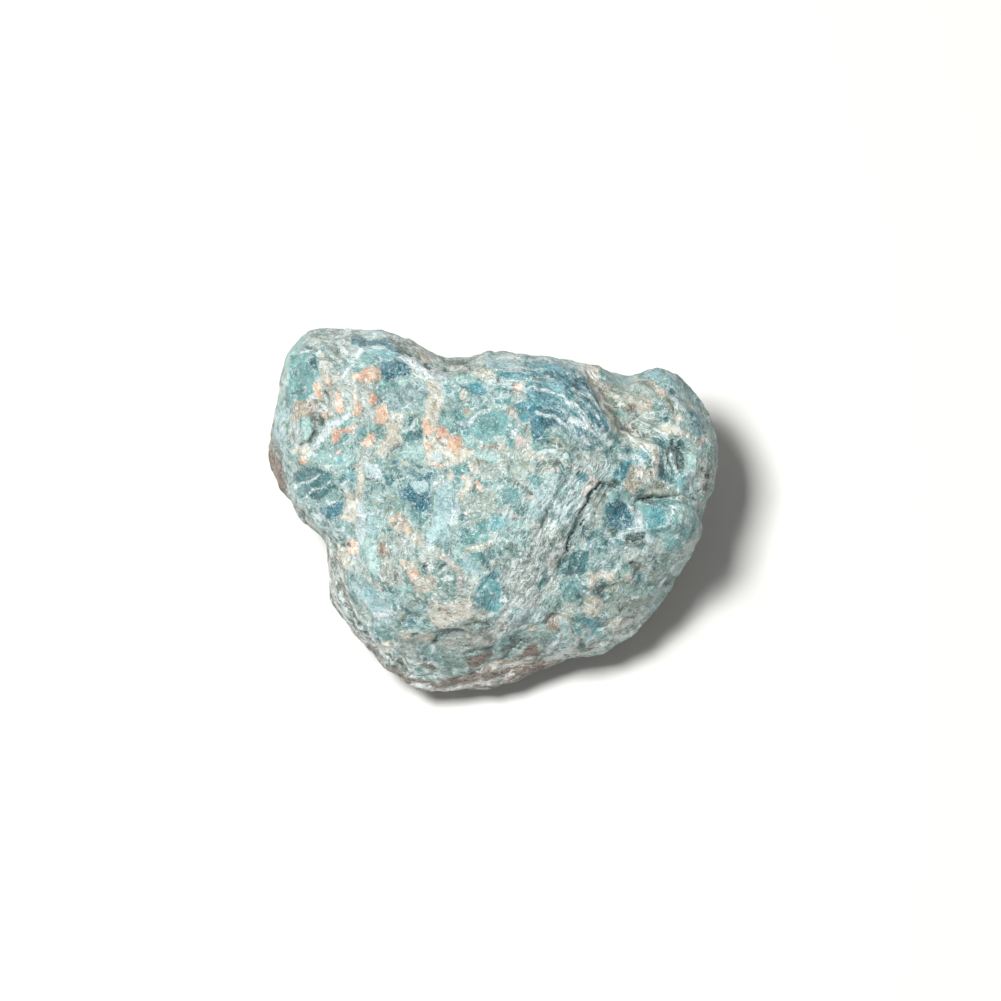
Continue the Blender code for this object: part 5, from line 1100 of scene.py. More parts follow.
# The way the rock's layers lie: fine silky steps run along each of these lines, most
# strongly on the blue dome and the long ridge. Each line gives how strong it is first.
LIES = (
    (0.8, -22, 27, -15, 26, -11, 23.5, -7, 21),
    (0.5, -4, 24, 2, 23, 8, 22.6),
    (1.0, 0, 22.6, 8.6, 20.6, 12.2, 18.3, 14.2, 16, 16, 13, 17.5, 10.5),
    (1.0, 5, 24, 10, 23.6, 14, 21, 17, 17.5, 19, 13.5, 20.2, 11),
    (0.9, 18.5, 15, 20, 12.5, 23, 11, 25, 10, 25.5, 8.5, 25.3, 5.5),
    (1.0, 17, 8, 15, 5, 12, 1, 9.5, -4, 8, -9, 5, -15, 1, -20),
    (0.7, 9, 6, 6, 1, 3.4, -5, 1.6, -10, -1, -16),
    (0.6, 33, 17, 35, 10, 34.5, 4, 31, 1),
    (1.0, -30, -1, -26, -8, -25, -14, -20, -21, -14, -27, -5, -27, 5, -25, 15, -22.5, 22, -19),
    (0.7, -35, 18, -36, 10, -34, 4, -31, 0),
    (0.5, -27, 22, -24, 17, -21, 10, -20.5, -1, -22, -10, -17, -18),
    (0.4, -14, 16, -9, 6, -8.5, 0, -10, -6),
    (0.4, 2, 16, -1, 8, -4, 2),
    (0.5, 24, 2, 29, 1, 32, -1.5, 31, -5, 27, -11),
    (0.4, 20, 0, 21, -6, 18, -12, 14, -18),
    (0.5, 27, 21, 30, 17, 31, 12),
    (0.4, 18, 19, 23, 18, 27, 16),
    (0.5, -14, -3, -14, -10, -9, -15, -2, -17),
    (0.6, -14, -20, -8, -22, -1, -22, 6, -21),
)
SEAM_MM = 0.9
APART_MM = (61.0, 17.0)
LIE_REACH_MM = 7.0
LIE_FULL = 1.3
LIE_LEAST = 0.35

lies = np.zeros((count, 3))
nearest = np.full(count, 1e9)
runner_up = np.full(count, 1e9)
for number, line in enumerate(LIES):
    path = np.array(line[1:]).reshape(-1, 2)
    travelled = 0.0
    best_before = nearest.copy()
    for start, end in zip(path[:-1], path[1:]):
        run = end - start
        length = np.hypot(*run)
        offset = wandered - start
        share = np.clip(offset @ run / length ** 2, 0, 1)
        aside = offset - share[:, None] * run
        gap = np.hypot(*aside.T)
        side = np.sign(run[0] * aside[:, 1] - run[1] * aside[:, 0])
        runner_up = np.minimum(runner_up, np.maximum(gap, best_before))
        closer = gap < nearest
        nearest[closer] = gap[closer]
        lies[closer, 0] = travelled + share[closer] * length + number * APART_MM[0]
        lies[closer, 1] = side[closer] * gap[closer] + number * APART_MM[1]
        lies[closer, 2] = line[0]
        travelled += length
lies[:, 2] *= np.clip(LIE_FULL - nearest / LIE_REACH_MM, LIE_LEAST, 1.0)
lies[:, 2] *= np.clip((runner_up - nearest) / SEAM_MM, 0, 1)
layer = fine.attributes.new("lie", "FLOAT_VECTOR", "POINT")
layer.data.foreach_set("vector", lies.astype(np.float32).ravel())

# Forms of a few millimetres: ridges, grooves, swells and hollows of the break. Each is a
# height, how far it spreads, and the line it follows.
FORM_SPREAD = 1.6
FORM_SHARE = 0.5
FORMS = (
    (-0.9, 1.0, 15.3, 21, 16.6, 18.6, 18.2, 15.6, 19.4, 13, 19.8, 11),
    (0.5, 1.4, 13.4, 21.4, 14.6, 18.6, 16.4, 15.4, 17.6, 12.4),
    (-0.6, 0.8, 4.6, 14.9, 7.6, 14.6, 10, 13.4, 11.6, 12.4),
    (-0.5, 0.7, -5.6, 11.6, -2.4, 9.9, 0, 9.8, 2.4, 9.9, 3.4, 12),
    (0.5, 0.9, -10, 20, -10.4, 14, -10, 10, -7, 8),
    (-0.5, 0.6, -11.8, 14, -12, 11, -11, 8, -11.4, 5),
    (-0.3, 0.7, 14.5, 1, 12.6, -3.3, 11.2, -6.6, 9.8, -10.2, 8.6, -12.4),
    (0.6, 1.7, 13, 2, 10.5, -3, 8.4, -7.4, 6.2, -12, 4, -16),
    (-0.5, 1.0, 5.4, 3, 4.6, -1.4, 4.6, -5, 1.8, -8.6, 1.4, -13),
    (0.9, 4.6, 27.6, -1, 29.4, -1),
    (-0.8, 0.4, 22.4, 1.5, 25, 2.1, 27.8, 2.2, 29.2, 2.4),
    (-0.5, 0.7, 22.9, 0.6, 23.2, -2, 24.5, -3.8, 26, -4.6),
    (-0.8, 2.6, 28, 8.4, 28.2, 7),
    (0.6, 0.9, 18.4, 14, 20.6, 11.7, 24.4, 10.4, 25.5, 8, 25, 5.6),
    (0.5, 0.8, 26.2, 12.4, 30, 12, 31.6, 10, 31.4, 6),
    (-0.7, 0.7, 20.4, 13.2, 22.6, 11.9, 25.8, 12.1),
    (-0.6, 0.9, 22.4, 18.8, 23.6, 18.4),
    (-0.5, 1.8, 19.4, -0.4, 20.8, -1.6),
    (-0.6, 1.1, 22.2, -8.8, 22.8, -9.6),
    (-0.5, 1.2, 22.2, -4.4, 23.2, -5),
    (-0.5, 1.8, -0.6, -12, -0.8, -14),
    (0.5, 0.5, -25, -5, -23.3, -9.6, -22.4, -13.6, -20, -18.2, -17.8, -22.4),
    (-0.5, 0.5, -25.5, -8, -24.5, -12.8, -23.3, -15.6, -21, -18.4),
    (-0.5, 0.5, -31.6, 0.6, -29, -2, -26.6, -4.4, -25.4, -6),
    (-0.6, 0.7, -9.3, -20.8, -8.4, -19.4, -6.6, -19.1, -4.8, -19.5),
    (-0.4, 0.5, -4.4, -22.6, -2.4, -22, -0.2, -21.6),
    (-0.5, 0.5, 1.6, -23.4, 3.2, -21.8, 4.8, -20.4),
    (-0.6, 0.8, 9, -16.8, 9.8, -16.8),
    (0.4, 0.6, -13, 23.6, -12, 22.6, -10, 21.2, -7.5, 20.9, -3, 21.7, 0, 20.7),
    (-0.6, 0.6, -8, 22.6, -7, 22.9, -4.4, 23.6),
    (-0.5, 0.6, -9.4, 2, -9.5, -0.6, -10.4, -2.6),
    (-0.6, 0.7, -28.5, 14.6, -28, 12.6, -29.2, 10.8, -31.2, 10.2),
    (0.5, 0.8, -29.4, 8.8, -26.2, 12.6, -22.9, 14.9),
    (-0.5, 0.9, -26.6, 18.8, -26.2, 16.6),
    (-0.4, 0.6, -22.9, 19.4, -22.8, 16.6),
    (-0.4, 0.6, -20.6, 18.8, -20.4, 16.4),
    (-0.5, 0.8, -18.2, 8, -15.4, 10.2, -12.4, 11),
    (0.5, 1.2, -21, 6, -20.6, -2, -20, -6, -17.4, -12, -15, -16),
    (-0.4, 1.0, -17.6, -6.8, -16, -9.4, -14.4, -11.4),
    (-0.5, 0.8, 15.6, -2.8, 15, -4.4, 13, -7, 12.4, -9.6),
    (-0.5, 0.9, 13.6, -17.6, 15.4, -18.4, 16.6, -19.8),
    (0.4, 0.9, 14.8, -10, 15.6, -13, 16, -16.4),
    (-0.5, 0.8, 16.6, -11.8, 17.4, -12.4),
    (-0.4, 0.8, -13, -16.4, -12.6, -18),
    (0.4, 0.8, -8.4, -7, -5.4, -9.6, -5.4, -13),
    (-0.4, 0.7, -5.4, -4.7, -1, -4.9),
    (-0.5, 0.5, 10.4, 10.2, 8.6, 10.5),
    (-0.4, 0.6, 3.4, 4.6, 5.6, 3.6, 6.3, 2.6),
)


def near_line(line, places):
    """How far each place is from a line given point by point."""
    return -inside_by(0.0, False, np.array(line).reshape(-1, 2), places)


relief = np.zeros(count)
for height, spread, *line in FORMS:
    rise = np.clip(1.0 - near_line(line, wandered) / (spread * FORM_SPREAD), 0, 1)
    relief += height * FORM_SHARE * rise * rise * (3 - 2 * rise) * shown

# The broken grain: the stone parts along small tilted planes, one to a grain, in three
# sizes. Calcite flakes stand up from it, dark hollows and cracks go in, and silky steps
# follow the layers.
BREAKS_MM = ((4.2, 0.34, 0.04), (2.0, 0.16, 0.05), (0.9, 0.05, 0.06))
STANDS_MM = {"peach": 0.16, "coral": 0.22, "cream": 0.08, "white": 0.10, "blush": 0.08,
             "dark": -0.22, "shaded_crack": -0.45, "dark_green": -0.10, "dark_teal": -0.08,
             "rust": -0.05}
STEP_EDGE_MM = 0.22
LAYER_MM = (3.6, 0.75)
LAYER_SEED = 4.0
LAYER_RELIEF_MM = 0.085
PLANE_TILT = 2.2
PLANE_STEP = 0.5
PLANE_SEED = 7.31
PLANE_SHIFT = Vector((3.1, 5.7, 9.2))


def broken_planes(places, grain, softness):
    """Height of a skin of tilted planes, one to each grain, for a grain one unit wide."""
    heights = np.empty(len(places))
    for index, place in enumerate(places):
        spot_in_grains = Vector(place) / grain
        gaps, seeds = noise.voronoi(spot_in_grains)
        total = 0.0
        shares = 0.0
        for gap, seed in zip(gaps, seeds):
            share = math.exp(-(gap - gaps[0]) / softness)
            tilt = noise.noise_vector(seed * PLANE_SEED + PLANE_SHIFT)
            total += share * (tilt.dot(spot_in_grains - seed) * PLANE_TILT + tilt.x * PLANE_STEP)
            shares += share
        heights[index] = total / shares
    return heights


for grain, height, softness in BREAKS_MM:
    relief += broken_planes(points, grain, softness) * height
for kind, height in STANDS_MM.items():
    share = np.clip(depths[kind] / STEP_EDGE_MM + 0.5, 0, 1)
    relief += height * share * share * (3 - 2 * share)
for index, (along, aside, strength) in enumerate(lies):
    layered = noise.noise(Vector((along / LAYER_MM[0], aside / LAYER_MM[1], LAYER_SEED)))
    relief[index] += LAYER_RELIEF_MM * strength * (0.5 - abs(layered) * 2.0)

# Near the flat spot the relief fades out, so the stone still rests on a true flat.
REST_FADE_MM = 0.9
REST_BLEND_MM = 0.16
FLAT_SPOT_MM = 0.12
resting = 1.0 / (1.0 + np.exp(-(points[:, 2] - REST_FADE_MM) / REST_BLEND_MM))
settled = points + faces_out * (relief * resting)[:, None]
settled[:, 2] = np.maximum(settled[:, 2], 0.0)
settled[points[:, 2] < FLAT_SPOT_MM, 2] = 0.0
fine.vertices.foreach_set("co", (settled / METRE).ravel())
fine.update()
for face in fine.polygons:
    face.use_smooth = True

# The stone's finish. Each kind of mineral has a darker and a lighter tone, how soft its
# edge is, and how rough it breaks: glassy apatite is crisp and shiny, calcite and crust
# are soft-edged and dull.
KINDS = {
    "crust": ((64, 55, 48), (164, 144, 128), 1.00, 0.75),
    "grey": ((99, 105, 97), (177, 179, 167), 1.00, 0.62),
    "grit": ((108, 126, 120), (190, 201, 193), 1.10, 0.60),
    "speckle": ((86, 99, 92), (189, 194, 179), 0.70, 0.60),
    "grey_green": ((90, 111, 102), (162, 176, 164), 0.90, 0.44),
    "olive": ((76, 93, 77), (146, 153, 131), 0.70, 0.58),
    "pale": ((121, 144, 136), (205, 215, 203), 0.70, 0.50),
    "blush": ((150, 135, 127), (217, 198, 187), 0.80, 0.60),
    "cream": ((143, 139, 119), (229, 223, 204), 0.80, 0.60),
    "tan": ((120, 108, 90), (196, 183, 156), 0.70, 0.62),
    "rust": ((104, 86, 72), (169, 147, 122), 0.60, 0.60),
    "blue_grey": ((80, 118, 120), (157, 187, 185), 0.60, 0.42),
    "lavender": ((112, 144, 148), (212, 226, 227), 0.45, 0.46),
    "mint": ((93, 146, 141), (180, 212, 204), 0.80, 0.42),
    "green": ((54, 95, 86), (126, 160, 150), 0.70, 0.38),
    "teal": ((40, 99, 101), (120, 176, 172), 0.70, 0.30),
    "dark_teal": ((17, 62, 67), (70, 133, 135), 0.60, 0.28),
    "dark_green": ((20, 49, 46), (73, 111, 102), 0.55, 0.32),
    "turquoise": ((60, 132, 141), (148, 199, 200), 0.70, 0.30),
    "drop": ((36, 112, 120), (106, 180, 185), 0.60, 0.24),
    "sky": ((104, 151, 155), (182, 211, 210), 0.80, 0.32),
    "clear": ((22, 92, 107), (90, 164, 174), 0.60, 0.22),
    "deep_blue": ((7, 66, 79), (53, 130, 145), 0.60, 0.20),
    "peach": ((184, 141, 111), (238, 207, 176), 0.25, 0.50),
    "coral": ((174, 120, 91), (228, 181, 150), 0.20, 0.48),
    # The dark kind is painted shade: the dark inside holes, hollows and cracks.
    "dark": ((62, 70, 63), (112, 118, 108), 0.20, 0.70),
    # The crack kind is painted shade: the dark inside cracks and under the overhang above the lump.
    "shaded_crack": ((33, 41, 41), (70, 81, 77), 0.12, 0.80),
    "white": ((120, 156, 158), (250, 252, 252), 0.30, 0.40),
}


def tint(red, green, blue):
    """A colour as seen on a colour card, 0 to 255, ready for a shader."""
    levels = []
    for level in (red, green, blue):
        share = level / 255
        levels.append(share / 12.92 if share <= 0.04045 else ((share + 0.055) / 1.055) ** 2.4)
    return (*levels, 1.0)


def placed(tree, kind, inputs=None, **settings):
    """One shader node, its settings made and its sockets filled or joined."""
    made = tree.nodes.new(kind)
    for name, value in settings.items():
        setattr(made, name, value)
    for name, value in (inputs or {}).items():
        if isinstance(value, bpy.types.NodeSocket):
            tree.links.new(value, made.inputs[name])
        else:
            made.inputs[name].default_value = value
    return made


def worked(tree, operation, first, second=0.0, third=0.0):
    """The result of a sum on two or three values."""
    return placed(tree, "ShaderNodeMath", {0: first, 1: second, 2: third}, operation=operation).outputs[0]


def moved(tree, operation, first, second=(0.0, 0.0, 0.0), third=(0.0, 0.0, 0.0)):
    """The result of a sum on two or three directions."""
    sockets = {0: first, 1: second, 2: third}
    return placed(tree, "ShaderNodeVectorMath", sockets, operation=operation).outputs


def stretched(tree, value, low, high, to_low=0.0, to_high=1.0):
    """A value taken smoothly from one range to another, and held at its ends."""
    ends = {"Value": value, "From Min": low, "From Max": high, "To Min": to_low, "To Max": to_high}
    return placed(tree, "ShaderNodeMapRange", ends, interpolation_type="SMOOTHSTEP").outputs[0]


def mixed(tree, share, below, above, blend="MIX"):
    """Two colours mixed by a share."""
    sockets = {0: share, 6: below, 7: above}
    return placed(tree, "ShaderNodeMix", sockets, data_type="RGBA", blend_type=blend).outputs[2]


def group_of(name, takes, gives):
    """An empty effect with these named inputs and outputs."""
    made = bpy.data.node_groups.new(name, "ShaderNodeTree")
    for label, kind in takes:
        made.interface.new_socket(label, in_out="INPUT", socket_type="NodeSocket" + kind)
    for label, kind in gives:
        made.interface.new_socket(label, in_out="OUTPUT", socket_type="NodeSocket" + kind)
    return made, made.nodes.new("NodeGroupInput").outputs, made.nodes.new("NodeGroupOutput").inputs


# One patch of mineral laid over what lies below it, its edge as soft as its kind.
patch, given, result = group_of(
    "mineral patch",
    [("Below", "Color"), ("Rough Below", "Float"), ("Depth", "Float"), ("Wobble", "Float"),
     ("Softness", "Float"), ("Dark", "Color"), ("Light", "Color"), ("Tone", "Float"),
     ("Roughness", "Float"), ("Rim", "Float"), ("Rim Colour", "Color")],
    [("Colour", "Color"), ("Roughness", "Float")],
)
reach = worked(patch, "ADD", given["Depth"], given["Wobble"])
half = worked(patch, "MULTIPLY", given["Softness"], 0.5)
cover = stretched(patch, reach, worked(patch, "MULTIPLY", half, -1.0), half)
own = mixed(patch, given["Tone"], given["Dark"], given["Light"])
laid = mixed(patch, cover, given["Below"], own)
line = stretched(patch, worked(patch, "ABSOLUTE", reach), 0.02, 0.15, 1.0, 0.0)
line = worked(patch, "MULTIPLY", line, given["Rim"])
patch.links.new(mixed(patch, line, laid, given["Rim Colour"]), result["Colour"])
rough = placed(patch, "ShaderNodeMix", {0: cover, 2: given["Rough Below"], 3: given["Roughness"]})
patch.links.new(rough.outputs[0], result["Roughness"])

# Small flat crystal faces, each tilted its own way and toned its own way.
facets, given, result = group_of(
    "crystal faces",
    [("Place", "Vector"), ("Width", "Float")],
    [("Height", "Float"), ("Tone", "Float"), ("Glint", "Float"), ("Edge", "Float")],
)
size = worked(facets, "DIVIDE", 1.0, given["Width"])
cells = placed(facets, "ShaderNodeTexVoronoi", {"Vector": given["Place"], "Scale": size})
off = moved(facets, "SUBTRACT", given["Place"], cells.outputs["Position"])[0]
way = moved(facets, "SUBTRACT", cells.outputs["Color"], (0.5, 0.5, 0.5))[0]
slope = moved(facets, "DOT_PRODUCT", off, way)[1]
facets.links.new(slope, result["Height"])
apart = placed(facets, "ShaderNodeSeparateColor", {0: cells.outputs["Color"]})
facets.links.new(apart.outputs[0], result["Tone"])
facets.links.new(apart.outputs[2], result["Glint"])
seams = placed(facets, "ShaderNodeTexVoronoi", {"Vector": given["Place"], "Scale": size},
               feature="DISTANCE_TO_EDGE")
facets.links.new(seams.outputs["Distance"], result["Edge"])

# Silky streaks: fine pale lines drawn out along the layers, at a place given along and
# across them.
streaks, given, result = group_of(
    "silky streaks",
    [("Along", "Float"), ("Across", "Float"), ("Bend", "Float"), ("Length", "Float"),
     ("Width", "Float"), ("Seed", "Float"), ("Thickness", "Float")],
    [("Line", "Float"), ("Height", "Float")],
)
across = worked(streaks, "ADD", given["Across"], given["Bend"])
drawn = placed(streaks, "ShaderNodeCombineXYZ", {
    0: worked(streaks, "DIVIDE", given["Along"], given["Length"]),
    1: worked(streaks, "DIVIDE", across, given["Width"]),
    2: given["Seed"],
})
fibres = placed(streaks, "ShaderNodeTexNoise", {
    "Vector": drawn.outputs[0], "Scale": 1.0, "Detail": 1.6, "Roughness": 0.5})
away = worked(streaks, "ABSOLUTE", worked(streaks, "SUBTRACT", fibres.outputs[0], 0.5))
edge = worked(streaks, "DIVIDE", given["Thickness"], given["Width"])
streaks.links.new(stretched(streaks, away, worked(streaks, "MULTIPLY", edge, 0.45),
                            worked(streaks, "MULTIPLY", edge, 1.15), 1.0, 0.0), result["Line"])
streaks.links.new(fibres.outputs[0], result["Height"])

finish = bpy.data.materials.new("rough apatite")
finish.use_nodes = True
tree = finish.node_tree
shader = tree.nodes["Principled BSDF"]
place = placed(tree, "ShaderNodeTexCoord").outputs["Object"]
place = placed(tree, "ShaderNodeVectorMath", {0: place, "Scale": METRE}, operation="SCALE").outputs[0]


def grained(scale, detail, roughness=0.55, at=place):
    """Soft noise, so many spots to the millimetre."""
    sockets = {"Vector": at, "Scale": scale, "Detail": detail, "Roughness": roughness}
    return placed(tree, "ShaderNodeTexNoise", sockets)


def crystals(width, at=place):
    """The crystal faces effect at this width, in millimetres."""
    return placed(tree, "ShaderNodeGroup", {"Place": at, "Width": width}, node_tree=facets).outputs


def attribute(name, output="Fac"):
    """What the skin carries at each point under this name."""
    return placed(tree, "ShaderNodeAttribute", attribute_name=name).outputs[output]


swirl = moved(tree, "SUBTRACT", grained(0.7, 3).outputs["Color"], (0.5, 0.5, 0.5))[0]
bent = moved(tree, "MULTIPLY_ADD", swirl, (1.6, 1.6, 1.6), place)[0]
along, across, silk = placed(
    tree, "ShaderNodeSeparateXYZ", {0: attribute("lie", "Vector")}).outputs
bend = worked(tree, "MULTIPLY", worked(tree, "SUBTRACT", grained(0.45, 3).outputs[0], 0.5), 1.6)


def silky(length, width, thickness, seed):
    """The silky streaks effect: its lines' length, spacing and thickness in millimetres."""
    sockets = {"Along": along, "Across": across, "Bend": bend, "Length": length,
               "Width": width, "Thickness": thickness, "Seed": seed}
    return placed(tree, "ShaderNodeGroup", sockets, node_tree=streaks).outputs


def wisps(scale, width, where):
    """Thin curved lines, one where soft noise passes through its middle level."""
    away = worked(tree, "ABSOLUTE", worked(tree, "SUBTRACT", grained(scale, 1.4, 0.5, where).outputs[0], 0.5))
    return stretched(tree, away, width * 0.45, width * 1.1, 1.0, 0.0)


def patchy(scale, low, high):
    """A soft mask that leaves an effect out of some places."""
    return stretched(tree, grained(scale, 4, 0.6).outputs[0], low, high)


# Fine pale lines over everything: silky ones along the layers, curved ones across them.
long_silk = silky(length=6.5, width=1.2, thickness=0.065, seed=2.0)
broad_silk = silky(length=4.2, width=0.70, thickness=0.050, seed=5.0)
fine_silk = silky(length=2.4, width=0.40, thickness=0.034, seed=8.0)
silk_lines = worked(tree, "MAXIMUM", worked(tree, "MULTIPLY", long_silk["Line"], patchy(0.40, 0.40, 0.56)),
                    worked(tree, "MULTIPLY", broad_silk["Line"], patchy(0.70, 0.42, 0.56)))
silk_lines = worked(tree, "MAXIMUM", silk_lines,
                    worked(tree, "MULTIPLY", fine_silk["Line"], patchy(0.90, 0.46, 0.62)))
silk_lines = worked(tree, "MULTIPLY", silk_lines, silk)
curved = worked(tree, "MAXIMUM", worked(tree, "MULTIPLY", wisps(0.42, 0.026, bent), patchy(0.5, 0.44, 0.56)),
                worked(tree, "MULTIPLY", wisps(0.80, 0.038, bent), patchy(0.6, 0.46, 0.60)))
curved = worked(tree, "MAXIMUM", curved,
                worked(tree, "MULTIPLY", wisps(1.50, 0.056, bent), patchy(0.8, 0.48, 0.62)))
web = worked(tree, "MAXIMUM", silk_lines, worked(tree, "MULTIPLY", curved, 0.85))
sugar = stretched(tree, grained(0.42, 4, 0.55, bent).outputs[0], 0.34, 0.66)
grit_noise = stretched(tree, grained(4.4, 2, 0.6).outputs[0], 0.32, 0.68)
coarse = crystals(1.9, bent)
middling = crystals(0.8, bent)
small = crystals(0.28, bent)
SHARES = ((sugar, 0.44), (coarse["Tone"], 0.18), (middling["Tone"], 0.10), (grit_noise, 0.28))
tone = 0.0
for value, share in SHARES:
    tone = worked(tree, "MULTIPLY_ADD", value, share, tone)
granular = worked(tree, "MULTIPLY_ADD", web, 0.40, worked(tree, "MULTIPLY", tone, 0.65))
wobble = worked(tree, "SUBTRACT", grained(1.2, 5, 0.65).outputs[0], 0.5)
feather = worked(tree, "MULTIPLY", worked(tree, "SUBTRACT", fine_silk["Height"], 0.5), silk)
feather = worked(tree, "MULTIPLY_ADD", worked(tree, "SUBTRACT", grained(2.6, 3, 0.6).outputs[0], 0.5), 0.9,
                 worked(tree, "MULTIPLY", feather, 1.1))
wobble = worked(tree, "MULTIPLY_ADD", wobble, 0.60, feather)

# What shows between the marked patches, and all round the back: mixed grain, crusted
# where the stone was not freshly broken.
mottle = stretched(tree, grained(0.38, 3, 0.5, bent).outputs[0], 0.36, 0.64)
GRAIN_TONES = (
    (0.00, (48, 108, 110)), (0.30, (88, 140, 136)), (0.55, (130, 160, 150)),
    (0.72, (98, 154, 150)), (0.88, (154, 168, 154)), (1.00, (134, 152, 138)),
)
grain_mix = placed(tree, "ShaderNodeValToRGB", {0: mottle})
while len(grain_mix.color_ramp.elements) < len(GRAIN_TONES):
    grain_mix.color_ramp.elements.new(0.5)
for stop, (start, levels) in zip(grain_mix.color_ramp.elements, GRAIN_TONES):
    stop.position = start
    stop.color = tint(*levels)
shadow = mixed(tree, worked(tree, "MULTIPLY_ADD", tone, -1.0, 0.75), grain_mix.outputs[0],
               tint(70, 104, 98))
crusted = mixed(tree, tone, tint(84, 76, 68), tint(182, 166, 150))
bare = worked(tree, "MULTIPLY_ADD", worked(tree, "SUBTRACT", grained(0.09, 5, 0.62).outputs[0], 0.5), 3.4,
              attribute("turned"))
colour = mixed(tree, stretched(tree, bare, -0.62, -0.30), crusted, shadow)
GRAIN_ROUGHNESS = 0.55
rough = worked(tree, "ADD", GRAIN_ROUGHNESS, 0.0)

LINED = ("crust", "grey", "grit", "speckle", "pale", "blush", "cream", "tan", "rust", "blue_grey",
         "lavender", "white", "peach", "coral")
GLASSY = ("green", "teal", "dark_teal", "dark_green", "turquoise", "drop", "sky", "clear",
          "deep_blue", "grey_green")
# One white serves the frosty rims and veins, and also the painted glints.
FROST_AND_GLINT_WHITE = tint(226, 242, 241)
frosted = worked(tree, "MULTIPLY", stretched(tree, grained(0.6, 4).outputs[0], 0.42, 0.60), 0.42)
for kind, (dark, light, softness, roughness) in KINDS.items():
    sockets = {"Below": colour, "Rough Below": rough, "Depth": attribute(kind), "Wobble": wobble,
               "Softness": softness, "Dark": tint(*dark), "Light": tint(*light),
               "Tone": granular if kind in LINED else tone,
               "Roughness": roughness, "Rim": frosted if kind in GLASSY else 0.0,
               "Rim Colour": FROST_AND_GLINT_WHITE}
    laid = placed(tree, "ShaderNodeGroup", sockets, node_tree=patch)
    colour, rough = laid.outputs["Colour"], laid.outputs["Roughness"]

# Over all of it, in brightness more than in colour: the pale lines, white veins between
# the coarse grains, painted glints that stand in for highlights off tiny crystal faces, and small dark pits.
PIT = tint(58, 84, 82)
net = worked(tree, "MULTIPLY", stretched(tree, coarse["Edge"], 0.01, 0.06, 1.0, 0.0), patchy(0.5, 0.46, 0.60))
clean = stretched(tree, rough, 0.63, 0.72, 1.0, 0.30)
colour = mixed(tree, worked(tree, "MULTIPLY", worked(tree, "MULTIPLY", net, clean), 0.28), colour, FROST_AND_GLINT_WHITE)
frosting = worked(tree, "MULTIPLY", stretched(tree, rough, 0.26, 0.54, 0.24, 0.70),
                  stretched(tree, attribute("shown"), 0.0, 0.5, 0.35, 1.0))
frosting = worked(tree, "MULTIPLY", frosting, clean)
colour = mixed(tree, worked(tree, "MULTIPLY", web, frosting), colour, tint(214, 228, 226), "SCREEN")
# Painted glints: small white specks in the base colour that stand in for highlights.
painted_glint = worked(tree, "MULTIPLY", stretched(tree, small["Glint"], 0.84, 0.88), patchy(1.1, 0.45, 0.56))
colour = mixed(tree, worked(tree, "MULTIPLY", worked(tree, "MULTIPLY", painted_glint, clean), 0.42), colour, FROST_AND_GLINT_WHITE)
pits = worked(tree, "MULTIPLY", stretched(tree, small["Tone"], 0.10, 0.08), patchy(1.0, 0.54, 0.64))
colour = mixed(tree, worked(tree, "MULTIPLY", pits, 0.45), colour, PIT)

HEIGHTS = (
    (coarse["Height"], 0.50), (middling["Height"], 0.40), (small["Height"], 0.32),
    (grit_noise, 0.045), (web, 0.12),
    (worked(tree, "MULTIPLY", broad_silk["Height"], silk), 0.30),
    (worked(tree, "MULTIPLY", fine_silk["Height"], silk), 0.16),
)
height = 0.0
for value, share in HEIGHTS:
    height = worked(tree, "MULTIPLY_ADD", value, share, height)
bump = placed(tree, "ShaderNodeBump", {"Strength": 1.0, "Distance": 1 / METRE, "Height": height})
tree.links.new(bump.outputs[0], shader.inputs["Normal"])
tree.links.new(colour, shader.inputs["Base Color"])
tree.links.new(rough, shader.inputs["Roughness"])
shader.inputs["IOR"].default_value = 1.63

fine.materials.clear()
fine.materials.append(finish)
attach(stone, "root")
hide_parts("rough_apatite")

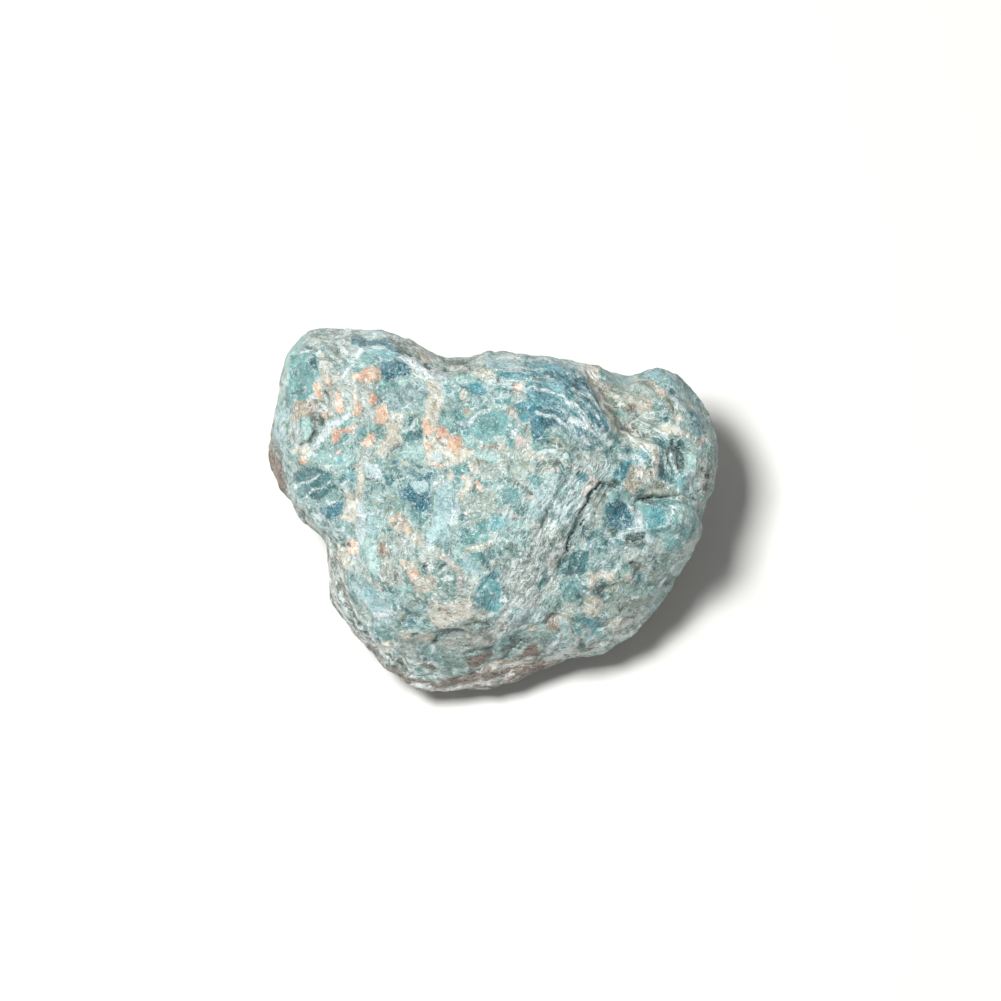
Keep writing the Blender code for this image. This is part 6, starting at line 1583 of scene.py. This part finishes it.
# The floor: plain pale board, wide enough to fill the view, matt so the stone's own
# soft shadow is all that shows on it.
floor_sheet = bpy.data.meshes.new("floor")
HALF_FLOOR_M = 3.0
corners = [(-HALF_FLOOR_M, -HALF_FLOOR_M, 0), (HALF_FLOOR_M, -HALF_FLOOR_M, 0)]
corners += [(HALF_FLOOR_M, HALF_FLOOR_M, 0), (-HALF_FLOOR_M, HALF_FLOOR_M, 0)]
floor_sheet.from_pydata(corners, [], [(0, 1, 2, 3)])
floor = bpy.data.objects.new("floor", floor_sheet)
bpy.context.scene.collection.objects.link(floor)
board = bpy.data.materials.new("pale board")
board.use_nodes = True
board_shader = board.node_tree.nodes["Principled BSDF"]
board_shader.inputs["Base Color"].default_value = (0.66, 0.66, 0.64, 1)
board_shader.inputs["Roughness"].default_value = 0.75
floor_sheet.materials.append(board)

# The light: one broad soft lamp above and to the left, with an even pale room round it
# that keeps the shadows open.
LAMP_AT_M = (-0.28, 0.0, 0.92)
LAMP_WIDTH_M = 0.22
LAMP_WATTS = 13.2
ROOM_BRIGHTNESS = 0.27
lamp_data = bpy.data.lights.new("soft lamp", "AREA")
lamp_data.size = LAMP_WIDTH_M
lamp_data.energy = LAMP_WATTS
lamp = bpy.data.objects.new("soft lamp", lamp_data)
lamp.location = LAMP_AT_M
lamp.rotation_mode = "QUATERNION"
lamp.rotation_quaternion = (Vector((0, 0, 0.02)) - lamp.location).to_track_quat("-Z", "Y")
bpy.context.scene.collection.objects.link(lamp)
room = bpy.data.worlds.new("pale room")
room.use_nodes = True
room.node_tree.nodes["Background"].inputs["Color"].default_value = (1, 1, 1, 1)
room.node_tree.nodes["Background"].inputs["Strength"].default_value = ROOM_BRIGHTNESS
bpy.context.scene.world = room
bpy.context.scene.view_settings.view_transform = "Standard"

# The camera: square on to the broad face, a metre off, so the face fills the middle of
# the picture.
LOOK_AT_MM = (1.035, 1.67, -6.0)
CAMERA_AWAY_MM = 1000.0
VIEW_WIDTH_MM = 159.4
SENSOR_MM = 36.0
seen = bpy.data.cameras.new("camera")
seen.sensor_width = SENSOR_MM
seen.lens = SENSOR_MM * CAMERA_AWAY_MM / VIEW_WIDTH_MM
seen.clip_start = 0.01
camera = bpy.data.objects.new("camera", seen)
camera.rotation_mode = "QUATERNION"
camera.rotation_quaternion = lean.to_quaternion()
stand = Vector((LOOK_AT_MM[0], LOOK_AT_MM[1], LOOK_AT_MM[2] + CAMERA_AWAY_MM))
camera.location = (lean @ stand + Vector(FACE_CENTRE_MM)) / METRE
bpy.context.scene.collection.objects.link(camera)
bpy.context.scene.camera = camera

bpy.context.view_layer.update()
